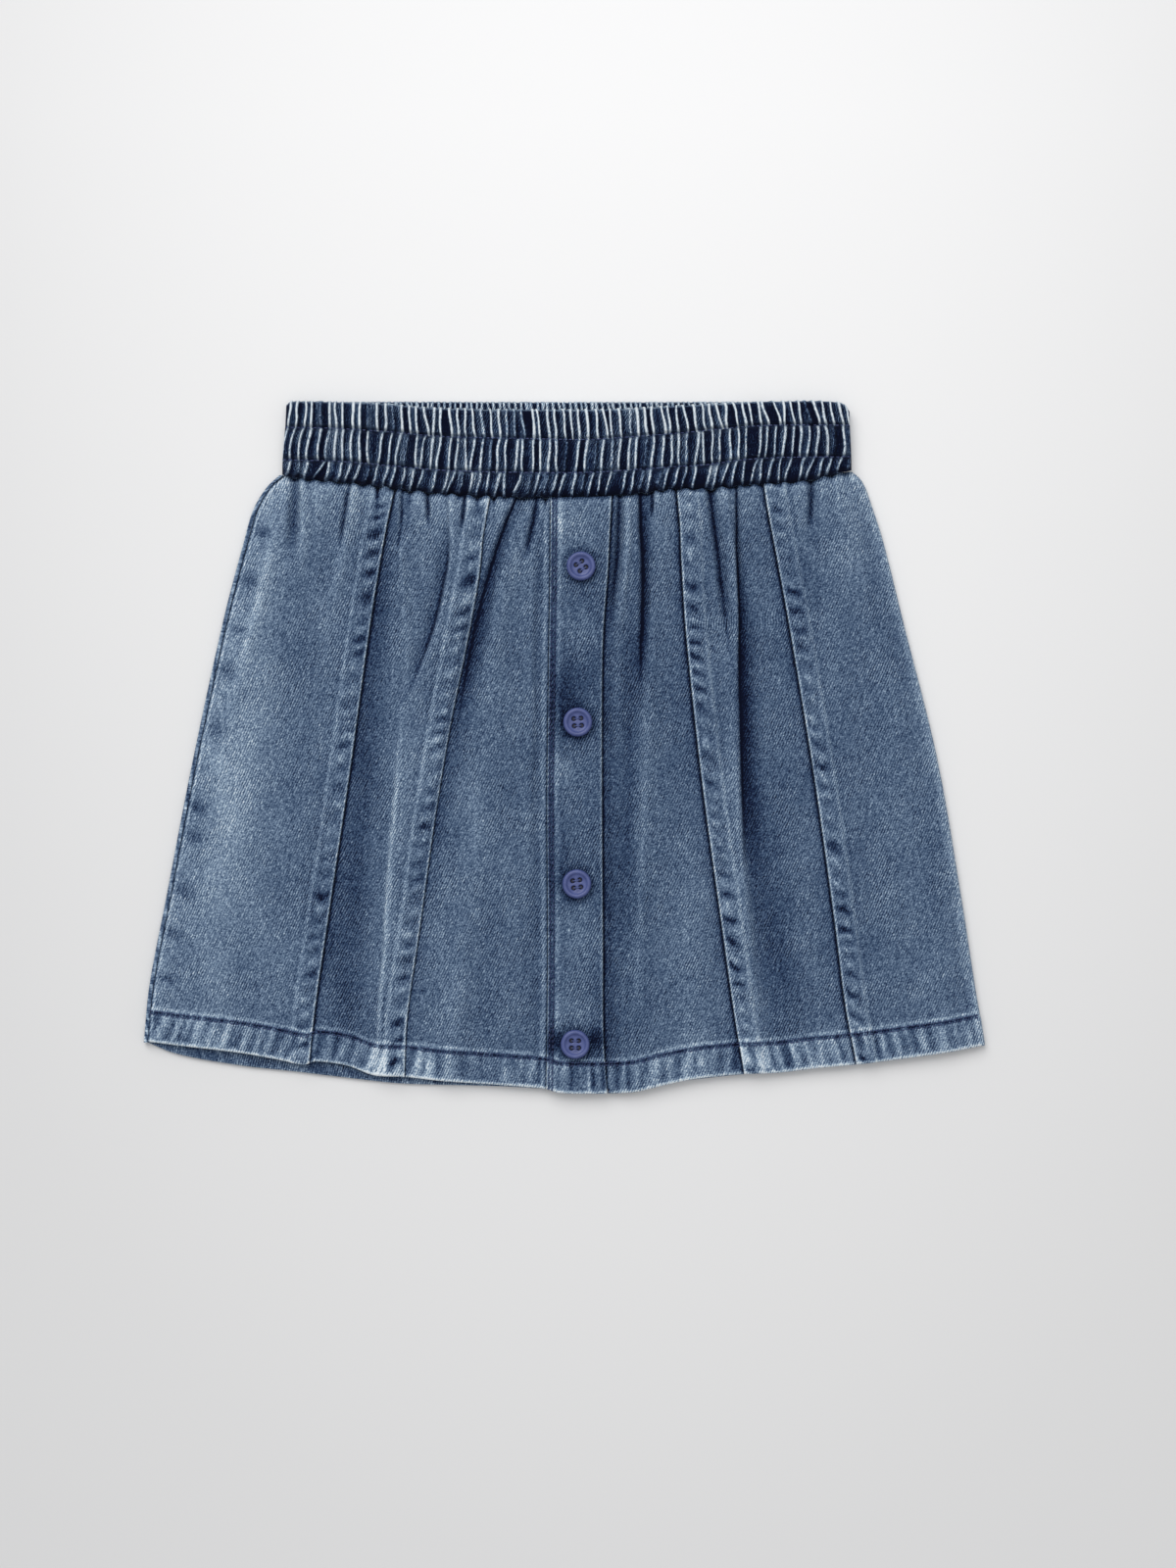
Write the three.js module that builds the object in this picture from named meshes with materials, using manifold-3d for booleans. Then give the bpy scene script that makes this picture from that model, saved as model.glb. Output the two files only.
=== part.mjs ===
// A girl's denim skirt with a gathered elastic waistband, laid flat: its front lies on its back.
// Millimetres. +X is to the right of the front, +Y towards the waist, +Z up from the surface it
// lies on. The origin is on that surface, under the middle of the skirt's outline.
//
// Every panel is a wall of cloth. Across the skirt, a place is given in millimetres from the
// middle. Along it, a place is given as the share of the way from the waist seam (0) to the
// hem's edge (1).
import * as THREE from 'three';
import { mergeVertices } from 'three/addons/utils/BufferGeometryUtils.js';
import Module from 'manifold-3d';

// ---- driving sizes -------------------------------------------------------------------------
const cloth = 1.2;              // one layer of cloth, with the air in its folds
const seamGap = 0.3;            // between neighbouring pieces
const backTop = 1.2;            // upper face of the back panel
const lowestFront = backTop + 0.35;
const edgeRise = 2.1;           // inside of the front layer where it turns down at the side edges
const edgeRadius = 1.65;        // round of the side edges
const edgeSoft = 13;            // over this width the front settles down to its side edge
const sideSeamInset = 2.0;      // the left side seam lies this far in from the folded edge
const underTurn = 5;            // the right panel turns this far under the skirt

const hemDepth = 13.4;          // turned-up hem, to its stitch line
const hemExtra = 0.9;           // the turned-up layer
const backHemExtra = 0.8;
const hemAtEdge = 0.27;         // and what of it stands out at the right edge
const hemRiseFrom = 0.9;        // the front rises over the back's hem between these shares
const hemRiseTo = 0.94;
const seamBandWidth = 9;        // seam allowance, pressed to one side
const seamBandExtra = 0.7;
const seamBandStep = 1;         // width of the step down beside it
const seamBandColumns = 3;
const placketExtra = 0.9;

const bandCore = 3.3;           // inside of the waistband's front run, above the back run
const bandWall = 2.4;           // casing and elastic
const ribHeight = 1.0;
const ribCount = 66;
const ribCrest = 0.17;          // half a crest's width, as a share of a gather's
const ribWander = 0.22;         // share of a rib's width that its middle wanders
const bandStitchDip = 0.8;      // the two stitch lines pull the gathers down
const bandEndRound = 3.2;
const bandBackHeight = 3.0;
const bandStep = 0.6;           // thickness left at the band's rounded ends
const bandUnderColumns = 24;
const bandBackRib = 0.9;        // depth of the back run's gathers along its upper edge
const bandBackStrip = 5;        // and how far down they show

const buttonRadius = 6.25;
const buttonHeight = 2.5;
const buttonHoleRadius = 0.95;
const buttonHoleSpread = 1.7;
const buttonSides = 24;
const holeSides = 8;

// ---- outline and seams ---------------------------------------------------------------------
// Across-positions of the edges and seams, a row each, at these shares of the way down.
const downStations = [0, 0.02, 0.06, 0.12, 0.25, 0.5, 0.75, 0.9, 1];
const seamLines = {
  leftEdge: [-122.5, -127.7, -133.6, -137.9, -146.2, -159.5, -171.3, -178.3, -180.7],
  seamOuterLeft: [-72.8, -73.7, -75.8, -78.5, -83.6, -92.1, -101.2, -106.6, -109.2],
  seamInnerLeft: [-31.7, -32.6, -34.4, -36.3, -42.5, -53.3, -62.0, -67.2, -68.3],
  placketLeft: [-6.1, -6.1, -6.2, -6.3, -6.8, -7.6, -7.3, -7.6, -8.0],
  placketRight: [20.4, 20.2, 19.6, 18.9, 16.6, 16.3, 16.7, 16.9, 18.5],
  seamInnerRight: [48.1, 48.4, 49.3, 49.9, 52.0, 58.8, 67.4, 72.7, 76.9],
  seamOuterRight: [85.3, 85.9, 87.6, 90.5, 96.4, 106.7, 115.5, 120.3, 125.0],
  rightEdge: [123.5, 128.1, 131.9, 136.7, 144.7, 160.0, 170.7, 176.4, 180.4],
};

// Lengthways positions by across-position: the waist seam, the hem's edge, and the back's hem,
// which lies a little lower than the front's at the left.
const waistSeam = [
  [-122, 117.0], [-111, 114.9], [-92, 113.2], [-68.5, 110.3], [-52, 108.6], [-32, 107.3], [10, 107.5],
  [30, 108.6], [46, 110.5], [62, 110.9], [83, 112.8], [100, 113.8], [110, 115.6], [122, 118.7],
];
const backWaistSeam = [
  [-122, 117.0], [-90, 113.9], [-60, 110.8], [-30, 108.8], [0, 108.3], [30, 109.6], [60, 111.8],
  [90, 114.6], [108, 116.9], [122, 118.7],
];
const frontHem = [
  [-180, -126.2], [-166, -127.9], [-138, -131.3], [-120, -134.6], [-112, -136.2], [-106.5, -134.8],
  [-93, -136.7], [-82, -140.6], [-69, -141.3], [-54, -143.0], [-25, -145.1], [-8, -146.6],
  [-2, -148.2], [17, -148.5], [30, -147.9], [43, -144.9], [55, -142.4], [75, -140.3],
  [92, -139.6], [107, -137.8], [124, -136.2], [139, -134.4], [165, -130.8], [180, -127.9],
];
const backHem = [
  [-180, -126.2], [-166, -131.7], [-138, -136.7], [-115, -139.2], [-93, -141.8], [-70, -144.3],
  [-54, -144.9], [-25, -145.6], [0, -147.0], [17, -147.4], [43, -144.6], [75, -141.0],
  [107, -138.2], [139, -135.3], [165, -131.2], [180, -127.9],
];

// The waistband: its upper edge, its two stitch lines and the upper edge of its back run.
const bandUpper = [
  [-121, 148.3], [-118, 148.7], [-86, 148.1], [-73, 147.2], [-61, 146.0], [-47, 145.5], [-20, 145.1],
  [10, 145.1], [26, 145.5], [42, 146.4], [58, 147.2], [74, 148.1], [90, 148.7], [114, 148.7], [122, 147.4],
];
const bandStitchOne = [
  [-121, 137.1], [-99, 136.7], [-73, 135.0], [-61, 133.8], [-47, 132.9], [-20, 132.4], [10, 131.9],
  [26, 132.9], [44, 134.2], [58, 135.5], [74, 137.1], [90, 138.0], [122, 138.0],
];
const bandStitchTwo = [
  [-121, 123.3], [-95, 122.4], [-73, 120.5], [-52, 118.7], [-20, 117.8], [10, 117.8], [26, 118.7],
  [46, 120.1], [62, 121.2], [74, 122.9], [90, 124.1], [122, 124.5],
];
const bandBackUpper = [[-121, 148.2], [-80, 148.6], [0, 148.5], [80, 148.6], [122, 148.2]];
const bandLeft = -120.5;
const bandRight = 122.5;

// ---- folds ---------------------------------------------------------------------------------
// One row for each fold: where it starts and ends down the skirt, the across-position of its
// line at the start, half-way and end, its height (a valley is negative), and how far it
// reaches to the left and to the right of its line.
const foldColumns = ['name', 'from', 'to', 'startX', 'middleX', 'endX', 'height', 'left', 'right'];
const foldRows = [
  ['left gather valley', 0.00, 0.15, -114.7, -116.4, -117.6, -1.6, 2.4, 2.4],
  ['left gather ridge', 0.00, 0.19, -111.5, -112.5, -115.1, 0.9, 2.6, 2.8],
  ['left hip ridge', 0.07, 0.35, -120.1, -126.7, -131.9, 1.0, 4.0, 4.0],
  ['left broad swell', 0.28, 0.80, -131.9, -140.0, -152.0, 0.9, 12, 12],
  ['left crease', 0.00, 0.13, -92.2, -94.6, -96.6, -1.5, 2.2, 2.0],
  ['left crease ridge', 0.00, 0.25, -88.7, -92.9, -98.8, 0.9, 2.5, 3.4],
  ['left waist bump', 0.00, 0.10, -103.3, -104.3, -105.4, 0.8, 3.4, 3.4],
  ['valley by outer left seam', 0.00, 0.40, -67.6, -73.5, -80.2, -1.7, 3.0, 4.0],
  ['outer left broad valley', 0.22, 0.95, -74.8, -85.9, -94.9, -0.8, 8, 8],
  ['first roll, upper', 0.00, 0.36, -49.8, -54.7, -69.3, 1.5, 3.0, 9],
  ['first roll, lower', 0.30, 0.97, -68.0, -74.4, -79.4, 1.1, 3.0, 11],
  ['short crease, first', 0.00, 0.06, -58.4, -58.4, -58.8, -1.3, 1.8, 1.8],
  ['short crease, second', 0.00, 0.07, -43.0, -43.4, -44.1, -1.3, 1.8, 1.8],
  ['deep valley', 0.00, 0.36, -25.2, -32.2, -46.2, -2.4, 2.4, 5.0],
  ['deep valley, tail', 0.28, 0.66, -43.7, -50.5, -57.1, -1.1, 2.4, 6.0],
  ['second roll, upper', 0.00, 0.40, -18.6, -28.7, -29.7, 1.1, 4.2, 5.0],
  ['second roll, lower', 0.32, 0.90, -30.2, -38.7, -53.8, 1.2, 6.5, 6.5],
  ['crease by button band', 0.00, 0.13, -12.6, -14.0, -16.0, -1.6, 2.0, 1.8],
  ['crest by button band', 0.03, 0.75, -11.6, -12.3, -12.6, 0.9, 3.6, 2.4],
  ['valley right of button band', 0.00, 0.24, 23.1, 21.6, 18.5, -1.8, 2.0, 2.0],
  ['ridge right of button band', 0.00, 0.26, 26.9, 25.8, 21.4, 1.1, 2.4, 2.2],
  ['drop right of that ridge', 0.00, 0.26, 31.9, 33.3, 33.6, -2.0, 2.0, 3.4],
  ['third valley', 0.16, 0.82, 33.2, 25.8, 23.5, -1.5, 5.5, 5.0],
  ['third roll', 0.08, 0.78, 38.2, 34.5, 31.5, 1.2, 3.0, 10],
  ['short crease, third', 0.00, 0.05, 37.4, 37.4, 37.0, -1.0, 1.8, 1.8],
  ['bump by inner right seam', 0.00, 0.18, 41.6, 42.3, 43.7, 0.7, 3.4, 3.4],
  ['fourth crease', 0.00, 0.31, 61.6, 66.2, 71.5, -1.6, 2.2, 2.4],
  ['fourth ridge', 0.00, 0.39, 69.0, 72.2, 72.6, 1.3, 3.0, 2.2],
  ['fourth drop', 0.00, 0.39, 74.3, 76.5, 76.3, -2.1, 1.9, 4.0],
  ['fourth drop, tail', 0.30, 0.64, 75.6, 77.5, 82.3, -1.1, 2.2, 5.0],
  ['fourth roll, lower', 0.34, 0.96, 72.2, 76.1, 88.2, 1.2, 5.5, 4.5],
  ['crease by outer right seam', 0.00, 0.09, 105.8, 105.7, 104.6, -1.3, 2.2, 2.2],
  ['bump by outer right seam', 0.00, 0.14, 99.1, 100.7, 103.3, 0.8, 3.4, 3.4],
  ['right waist bump', 0.00, 0.14, 115.1, 120.5, 125.6, 0.6, 5.0, 5.0],
];
const foldFadeIn = 0.3;         // share of a fold's length over which it rises
const foldFadeOut = 0.5;        // and over which it runs out
const folds = foldRows.map((row) => Object.fromEntries(foldColumns.map((name, i) => [name, row[i]])));

// Height of the front layer's inside over the surface, away from the side edges.
const restingHeight = [[0, 3.9], [0.15, 3.7], [0.4, 3.3], [0.75, 3.0], [1, 3.0]];

// ---- small helpers -------------------------------------------------------------------------
const clamp = (value, low, high) => Math.min(high, Math.max(low, value));
const mix = (a, b, share) => a + (b - a) * share;
const smooth = (low, high, value) => {
  const share = clamp((value - low) / (high - low), 0, 1);
  return share * share * (3 - 2 * share);
};

// A smooth line through [place, value] pairs.
function through(pairs, place) {
  const last = pairs.length - 1;
  if (place <= pairs[0][0]) return pairs[0][1];
  if (place >= pairs[last][0]) return pairs[last][1];
  let i = 0;
  while (place > pairs[i + 1][0]) i += 1;
  const slopeAt = (k) => {
    const before = pairs[Math.max(0, k - 1)];
    const after = pairs[Math.min(last, k + 1)];
    return (after[1] - before[1]) / (after[0] - before[0]);
  };
  const width = pairs[i + 1][0] - pairs[i][0];
  const s = (place - pairs[i][0]) / width;
  const rise = pairs[i + 1][1] - pairs[i][1];
  const startSlope = slopeAt(i) * width;
  const endSlope = slopeAt(i + 1) * width;
  return pairs[i][1] + s * startSlope + s * s * (3 * rise - 2 * startSlope - endSlope)
    + s * s * s * (startSlope + endSlope - 2 * rise);
}

const seamPairs = Object.fromEntries(
  Object.entries(seamLines).map(([name, row]) => [name, row.map((x, i) => [downStations[i], x])]));
const seamX = (name, down) => through(seamPairs[name], down);

// ---- the front layer's height --------------------------------------------------------------
function foldHeight(fold, x, down) {
  const length = fold.to - fold.from;
  const start = fold.from === 0 ? 1 : smooth(fold.from, fold.from + foldFadeIn * length, down);
  const end = 1 - smooth(fold.to - foldFadeOut * length, fold.to, down);
  const s = clamp((down - fold.from) / length, 0, 1);
  const bend = 2 * (fold.startX + fold.endX - 2 * fold.middleX);
  const line = fold.startX + (fold.endX - fold.startX - bend) * s + bend * s * s;
  const reach = x < line ? fold.left : fold.right;
  return fold.height * start * end * Math.exp(-(((x - line) / reach) ** 2));
}

// Inside face of the front layer over the surface.
function frontInside(x, down) {
  const fromEdge = Math.min(x - seamX('leftEdge', down), seamX('rightEdge', down) - x) - edgeRadius;
  const inward = smooth(0, edgeSoft, fromEdge);
  let height = mix(edgeRise, through(restingHeight, down), inward);
  for (const fold of folds) height += inward * foldHeight(fold, x, down);
  return Math.max(height, lowestFront + hemExtra * smooth(hemRiseFrom, hemRiseTo, down));
}

// ---- a wall between two grids of points ----------------------------------------------------
// outer[row][column] and inner[row][column]: rows run from the waist to the hem, columns from
// left to right. The two grids may differ in size; their borders are bridged.
function wallGeometry(outer, inner) {
  const points = [];
  const triangles = [];
  const number = (grid) => grid.map((row) => row.map((point) => points.push(point) - 1));
  const outerIds = number(outer);
  const innerIds = number(inner);
  const face = (ids, facesUp) => {
    for (let r = 0; r + 1 < ids.length; r += 1) {
      for (let c = 0; c + 1 < ids[r].length; c += 1) {
        const [a, b, e, d] = [ids[r][c], ids[r + 1][c], ids[r + 1][c + 1], ids[r][c + 1]];
        if (facesUp) triangles.push(a, b, d, d, b, e);
        else triangles.push(a, d, b, d, e, b);
      }
    }
  };
  face(outerIds, true);
  face(innerIds, false);
  const borders = (ids) => {
    const last = ids[0].length - 1;
    return [
      [...ids[0]],
      ids.map((row) => row[last]),
      [...ids[ids.length - 1]].reverse(),
      ids.map((row) => row[0]).reverse(),
    ];
  };
  const innerBorders = borders(innerIds);
  borders(outerIds).forEach((a, side) => {
    const b = innerBorders[side];
    let i = 0;
    let j = 0;
    while (i < a.length - 1 || j < b.length - 1) {
      const outerNext = i < a.length - 1
        && (j === b.length - 1 || (i + 1) * (b.length - 1) <= (j + 1) * (a.length - 1));
      if (outerNext) {
        triangles.push(a[i], a[i + 1], b[j]);
        i += 1;
      } else {
        triangles.push(a[i], b[j + 1], b[j]);
        j += 1;
      }
    }
  });
  const geometry = new THREE.BufferGeometry();
  geometry.setAttribute('position', new THREE.Float32BufferAttribute(points.flat(), 3));
  geometry.setIndex(triangles);
  return geometry;
}

// ---- front panels --------------------------------------------------------------------------
const bodyRows = [0, 0.025, 0.055, 0.095, 0.145, 0.21, 0.29, 0.38, 0.48, 0.58, 0.68, 0.78, 0.87];
const hemRows = [[hemDepth + 1.2, 0], [hemDepth, -0.4], [hemDepth - 1.2, 1], [1.0, 1], [0, 0.2]];
const tilt = 0.6;               // how far the wall leans with the slope of a fold

// A point of the front layer: place across, and lengthways between the waist seam and the hem.
function frontPoint(x, waistX, hemX, down, lift) {
  const waistY = through(waistSeam, waistX) - seamGap / 2;
  const y = mix(waistY, through(frontHem, hemX), down);
  const step = 0.6;
  const downStep = 0.004;
  const length = waistY - through(frontHem, hemX);
  const slopeX = (frontInside(x + step, down) - frontInside(x - step, down)) / (2 * step);
  const above = Math.max(0, down - downStep);
  const below = Math.min(1, down + downStep);
  const slopeY = (frontInside(x, above) - frontInside(x, below)) / ((below - above) * length);
  const normal = new THREE.Vector3(-tilt * slopeX, -tilt * slopeY, 1).normalize();
  return [x + normal.x * lift, y + normal.y * lift, frontInside(x, down) + normal.z * lift];
}

// Each front panel: its two seams, how many columns it has between them, and the strip of
// seam allowance that lies under it along one side.
const panelColumns = ['node', 'leftSeam', 'rightSeam', 'columns', 'bandSide', 'bandExtra', 'wholeExtra'];
const panelRows = [
  ['side_panel_left', 'leftEdge', 'seamOuterLeft', 14, 'right', seamBandExtra, 0],
  ['middle_panel_left', 'seamOuterLeft', 'seamInnerLeft', 12, 'right', seamBandExtra, 0],
  ['inner_panel_left', 'seamInnerLeft', 'placketLeft', 11, 'none', 0, 0],
  ['button_placket', 'placketLeft', 'placketRight', 7, 'none', 0, placketExtra],
  ['inner_panel_right', 'placketRight', 'seamInnerRight', 12, 'none', 0, 0],
  ['middle_panel_right', 'seamInnerRight', 'seamOuterRight', 10, 'left', seamBandExtra, 0],
  ['side_panel_right', 'seamOuterRight', 'rightEdge', 12, 'left', seamBandExtra, 0],
];
const panels = panelRows.map((row) => Object.fromEntries(panelColumns.map((name, i) => [name, row[i]])));

// Across-distances of a panel's columns from its left seam, and the allowance's share there.
function panelStations(panel, width) {
  const plainColumns = panel.columns - seamBandColumns - 1;
  const stations = [];
  const even = (from, to, count, share) => {
    for (let i = 0; i <= count; i += 1) stations.push([mix(from, to, i / count), share]);
  };
  if (panel.bandSide === 'right') {
    even(0, width - seamBandWidth - seamBandStep, plainColumns, 0);
    even(width - seamBandWidth, width, seamBandColumns, 1);
  } else if (panel.bandSide === 'left') {
    even(0, seamBandWidth, seamBandColumns, 1);
    even(seamBandWidth + seamBandStep, width, plainColumns, 0);
  } else {
    even(0, width, panel.columns, 0);
  }
  return stations;
}

// The right edge: the cloth turns down, round and a little way under the skirt.
const turnAngles = [30, 60, 90, 120, 150, 180].map(THREE.MathUtils.degToRad);
const turnHeight = (edgeRise + cloth) / 2;      // middle of the turn, over the surface

function panelGrids(panel) {
  const atLeftFold = panel.leftSeam === 'leftEdge';
  const atRightFold = panel.rightSeam === 'rightEdge';
  const leftAt = (down) => seamX(panel.leftSeam, down) + (atLeftFold ? sideSeamInset : 0) + seamGap / 2;
  const rightAt = (down) => seamX(panel.rightSeam, down) - (atRightFold ? edgeRadius : seamGap / 2);
  const waistLeft = leftAt(0);
  const waistWidth = rightAt(0) - waistLeft;
  const hemLeft = leftAt(1);
  const hemWidth = rightAt(1) - hemLeft;
  const rows = bodyRows.map((down) => ({ down, hemShare: 0 }));
  hemRows.forEach(([distance, hemShare]) => rows.push({ distance, hemShare }));
  const waistMiddle = waistLeft + 0.5 * waistWidth;
  const hemMiddle = hemLeft + 0.5 * hemWidth;
  const length = through(waistSeam, waistMiddle) - through(frontHem, hemMiddle);
  const outer = [];
  const inner = [];
  for (const row of rows) {
    const outerRow = [];
    const innerRow = [];
    const down = row.down === undefined ? 1 - row.distance / length : row.down;
    const left = leftAt(down);
    const width = rightAt(down) - left;
    for (const [across, bandShare] of panelStations(panel, width)) {
      const share = across / width;
      const x = left + across;
      const place = [x, waistLeft + share * waistWidth, hemLeft + share * hemWidth, down];
      const extra = panel.wholeExtra + bandShare * panel.bandExtra + row.hemShare * hemExtra;
      outerRow.push(frontPoint(...place, cloth + extra));
      innerRow.push(frontPoint(...place, 0));
    }
    if (atRightFold) {
      const hemY = through(frontHem, hemLeft + hemWidth);
      const centre = rightAt(down);
      const y = mix(through(waistSeam, rightAt(0)) - seamGap / 2, hemY, down);
      const endX = rightAt(0) - underTurn;
      const endY = mix(through(backWaistSeam, endX) - seamGap / 2, hemY, down);
      const extra = row.hemShare * hemAtEdge;
      for (const angle of turnAngles) {
        const outerX = centre + (edgeRadius + extra) * Math.sin(angle);
        const innerX = centre + (edgeRadius - cloth) * Math.sin(angle);
        outerRow.push([outerX, y, turnHeight + turnHeight * Math.cos(angle)]);
        innerRow.push([innerX, y, turnHeight + (turnHeight - cloth) * Math.cos(angle)]);
      }
      outerRow.push([centre - underTurn, endY, 0]);
      innerRow.push([centre - underTurn, endY, cloth]);
    }
    outer.push(outerRow);
    inner.push(innerRow);
  }
  return [outer, inner];
}

// ---- back panel ----------------------------------------------------------------------------
// Flat on the surface, turned up round the left edge as far as the side seam.
const backColumns = 12;
const backHemSettle = 3;        // its hem reaches its full thickness this far from the edge

function backGrids() {
  const upper = [];
  const lower = [];
  const rows = bodyRows.map((down) => ({ down, hemShare: 0 }));
  rows.push({ distance: hemDepth + 1, hemShare: 0 }, { distance: hemDepth - 1, hemShare: 1 });
  rows.push({ distance: 0, hemShare: 1 });
  const length = through(waistSeam, 0) - through(backHem, 0);
  const rightInset = edgeRadius + underTurn;
  for (const row of rows) {
    const down = row.down === undefined ? 1 - row.distance / length : row.down;
    const leftEdge = seamX('leftEdge', down) + edgeRadius;
    const rightEnd = seamX('rightEdge', down) - edgeRadius - underTurn - seamGap;
    const y = (share) => {
      const waistX = mix(seamX('leftEdge', 0) + sideSeamInset, seamX('rightEdge', 0) - rightInset, share);
      const hemX = mix(seamX('leftEdge', 1) + sideSeamInset, seamX('rightEdge', 1) - edgeRadius, share);
      return mix(through(backWaistSeam, waistX) - seamGap / 2, through(backHem, hemX), down);
    };
    const thick = cloth + row.hemShare * backHemExtra;
    const upperRow = [];
    const lowerRow = [];
    const seamX0 = seamX('leftEdge', down) + sideSeamInset - seamGap / 2;
    upperRow.push([seamX0, y(0), edgeRise]);
    lowerRow.push([seamX0, y(0), edgeRise + cloth]);
    for (const angle of [...turnAngles].reverse()) {
      const innerX = leftEdge - (edgeRadius - cloth) * Math.sin(angle);
      const outerX = leftEdge - edgeRadius * Math.sin(angle);
      upperRow.push([innerX, y(0), turnHeight - (turnHeight - cloth) * Math.cos(angle)]);
      lowerRow.push([outerX, y(0), turnHeight - turnHeight * Math.cos(angle)]);
    }
    for (let c = 1; c <= backColumns; c += 1) {
      const share = c / backColumns;
      const x = mix(leftEdge, rightEnd, share);
      const settled = smooth(0, backHemSettle, x - leftEdge);
      upperRow.push([x, y(share), mix(cloth, thick, settled)]);
      lowerRow.push([x, y(share), 0]);
    }
    upper.push(upperRow);
    lower.push(lowerRow);
  }
  return [upper, lower];
}

// ---- waistband -----------------------------------------------------------------------------
const ribMiddle = (k) => k + 0.5 + ribWander * (Math.sin(k * 2.4) + Math.sin(k * 5.3 + 1)) / 2;

// Across-shares of the gathers: each has a valley and the two edges of its narrow ridge.
function ribStations() {
  const stations = [[0, 0]];
  for (let k = 0; k < ribCount; k += 1) {
    const middle = ribMiddle(k);
    const height = 0.75 + 0.25 * Math.sin(k * 3.7 + 0.6);
    stations.push([(middle - ribCrest) / ribCount, height], [(middle + ribCrest) / ribCount, height]);
    if (k + 1 < ribCount) {
      const next = ribMiddle(k + 1);
      stations.push([(middle + next) / 2 / ribCount, 0]);
    }
  }
  stations.push([1, 0]);
  return stations;
}

// Rows of the band from its upper edge to the waist seam: between which two lines, the share
// between them, how far the gathers stand up and how far the stitching pulls in.
const bandRowColumns = ['from', 'to', 'share', 'ribs', 'dip'];
const bandRows = [
  [0, 1, 0.0, 0.6, 0.4],
  [0, 1, 0.5, 1.0, 0.0],
  [1, 2, 0.0, 0.35, 1.0],
  [1, 2, 0.5, 1.0, 0.0],
  [2, 3, 0.0, 0.35, 1.0],
  [2, 3, 0.5, 0.9, 0.1],
  [2, 3, 1.0, 0.5, 1.0],
].map((row) => Object.fromEntries(bandRowColumns.map((name, i) => [name, row[i]])));

function bandLine(index, x) {
  if (index === 0) return through(bandUpper, x);
  if (index === 1) return through(bandStitchOne, x);
  if (index === 2) return through(bandStitchTwo, x);
  return through(waistSeam, x) + seamGap / 2;
}

// The ends of the band round down to the side.
function bandEnd(x) {
  const inside = clamp(Math.min(x - bandLeft, bandRight - x) / bandEndRound, 0, 1);
  return Math.sqrt(1 - (1 - inside) ** 2);
}

function bandFrontGrids() {
  const outer = bandRows.map((row) => ribStations().map(([share, rib]) => {
    const x = mix(bandLeft, bandRight, share);
    const y = mix(bandLine(row.from, x), bandLine(row.to, x), row.share);
    const full = bandWall + ribHeight * rib * row.ribs - bandStitchDip * row.dip;
    return [x, y, bandCore + bandStep + (full - bandStep) * bandEnd(x)];
  }));
  const inner = [0, 3].map((index) => Array.from({ length: ribCount + 1 }, (unused, c) => {
    const x = mix(bandLeft, bandRight, c / ribCount);
    return [x, bandLine(index, x), bandCore];
  }));
  return [outer, inner];
}

// The back run lies under the front one. Its own gathers show along its upper edge.
function bandBackGrids() {
  const ribbed = [[0, 0.6], [0.4 * bandBackStrip, 1], [bandBackStrip, 0]];
  const upper = ribbed.map(([distance, ribShare]) => ribStations().filter((unused, i) => i % 3 !== 2)
    .map(([share, rib]) => {
      const x = mix(bandLeft, bandRight, share);
      const crest = -bandBackRib * (1 - rib) * ribShare;
      const height = bandStep + (bandBackHeight - bandStep + crest) * bandEnd(x);
      return [x, through(bandBackUpper, x) - distance, height];
    }));
  const lowerEdge = (x) => through(backWaistSeam, x) + seamGap / 2;
  upper.push(upper[0].map(([x]) => [x, lowerEdge(x), bandStep + (bandBackHeight - bandStep) * bandEnd(x)]));
  const lower = [through.bind(null, bandBackUpper), lowerEdge].map((edge) => (
    Array.from({ length: bandUnderColumns + 1 }, (unused, c) => {
      const x = mix(bandLeft, bandRight, c / bandUnderColumns);
      return [x, edge(x), 0];
    })));
  return [upper, lower];
}

// ---- buttons -------------------------------------------------------------------------------
// A raised rim round a shallow dish, with four sewing holes. Each row: place and turn.
const buttonColumns = ['x', 'y', 'turn'];
const buttons = [
  [7.1, 77.5, 33],
  [5.7, 10.7, 4],
  [5.3, -58.6, 8],
  [4.6, -127.3, 0],
].map((row) => Object.fromEntries(buttonColumns.map((name, i) => [name, row[i]])));

const wasm = await Module();
wasm.setup();

function solidOf(geometry) {
  const bare = geometry.clone();
  bare.deleteAttribute('normal');
  bare.deleteAttribute('uv');
  const merged = mergeVertices(bare, 1e-4);
  return new wasm.Manifold(new wasm.Mesh({
    numProp: 3,
    vertProperties: new Float32Array(merged.attributes.position.array),
    triVerts: new Uint32Array(merged.index.array),
  }));
}

function geometryOf(solid) {
  const mesh = solid.getMesh();
  const geometry = new THREE.BufferGeometry();
  geometry.setAttribute('position', new THREE.BufferAttribute(mesh.vertProperties, 3));
  geometry.setIndex(new THREE.BufferAttribute(mesh.triVerts, 1));
  return geometry;
}

function buttonGeometry() {
  const profile = [
    [0, 0], [0.82, 0], [0.96, 0.16], [1, 0.45], [0.96, 0.8], [0.86, 1], [0.76, 0.98], [0.64, 0.72],
    [0, 0.66],
  ].map(([r, z]) => new THREE.Vector2(r * buttonRadius, z * buttonHeight));
  const disc = new THREE.LatheGeometry(profile, buttonSides);
  disc.rotateX(Math.PI / 2);
  const hole = new THREE.CylinderGeometry(
    buttonHoleRadius, buttonHoleRadius, 3 * buttonHeight, holeSides);
  hole.rotateX(Math.PI / 2);
  let solid = solidOf(disc);
  for (const sx of [-1, 1]) {
    for (const sy of [-1, 1]) {
      const placed = hole.clone().translate(sx * buttonHoleSpread, sy * buttonHoleSpread, 0);
      solid = solid.subtract(solidOf(placed));
    }
  }
  return geometryOf(solid);
}

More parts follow.
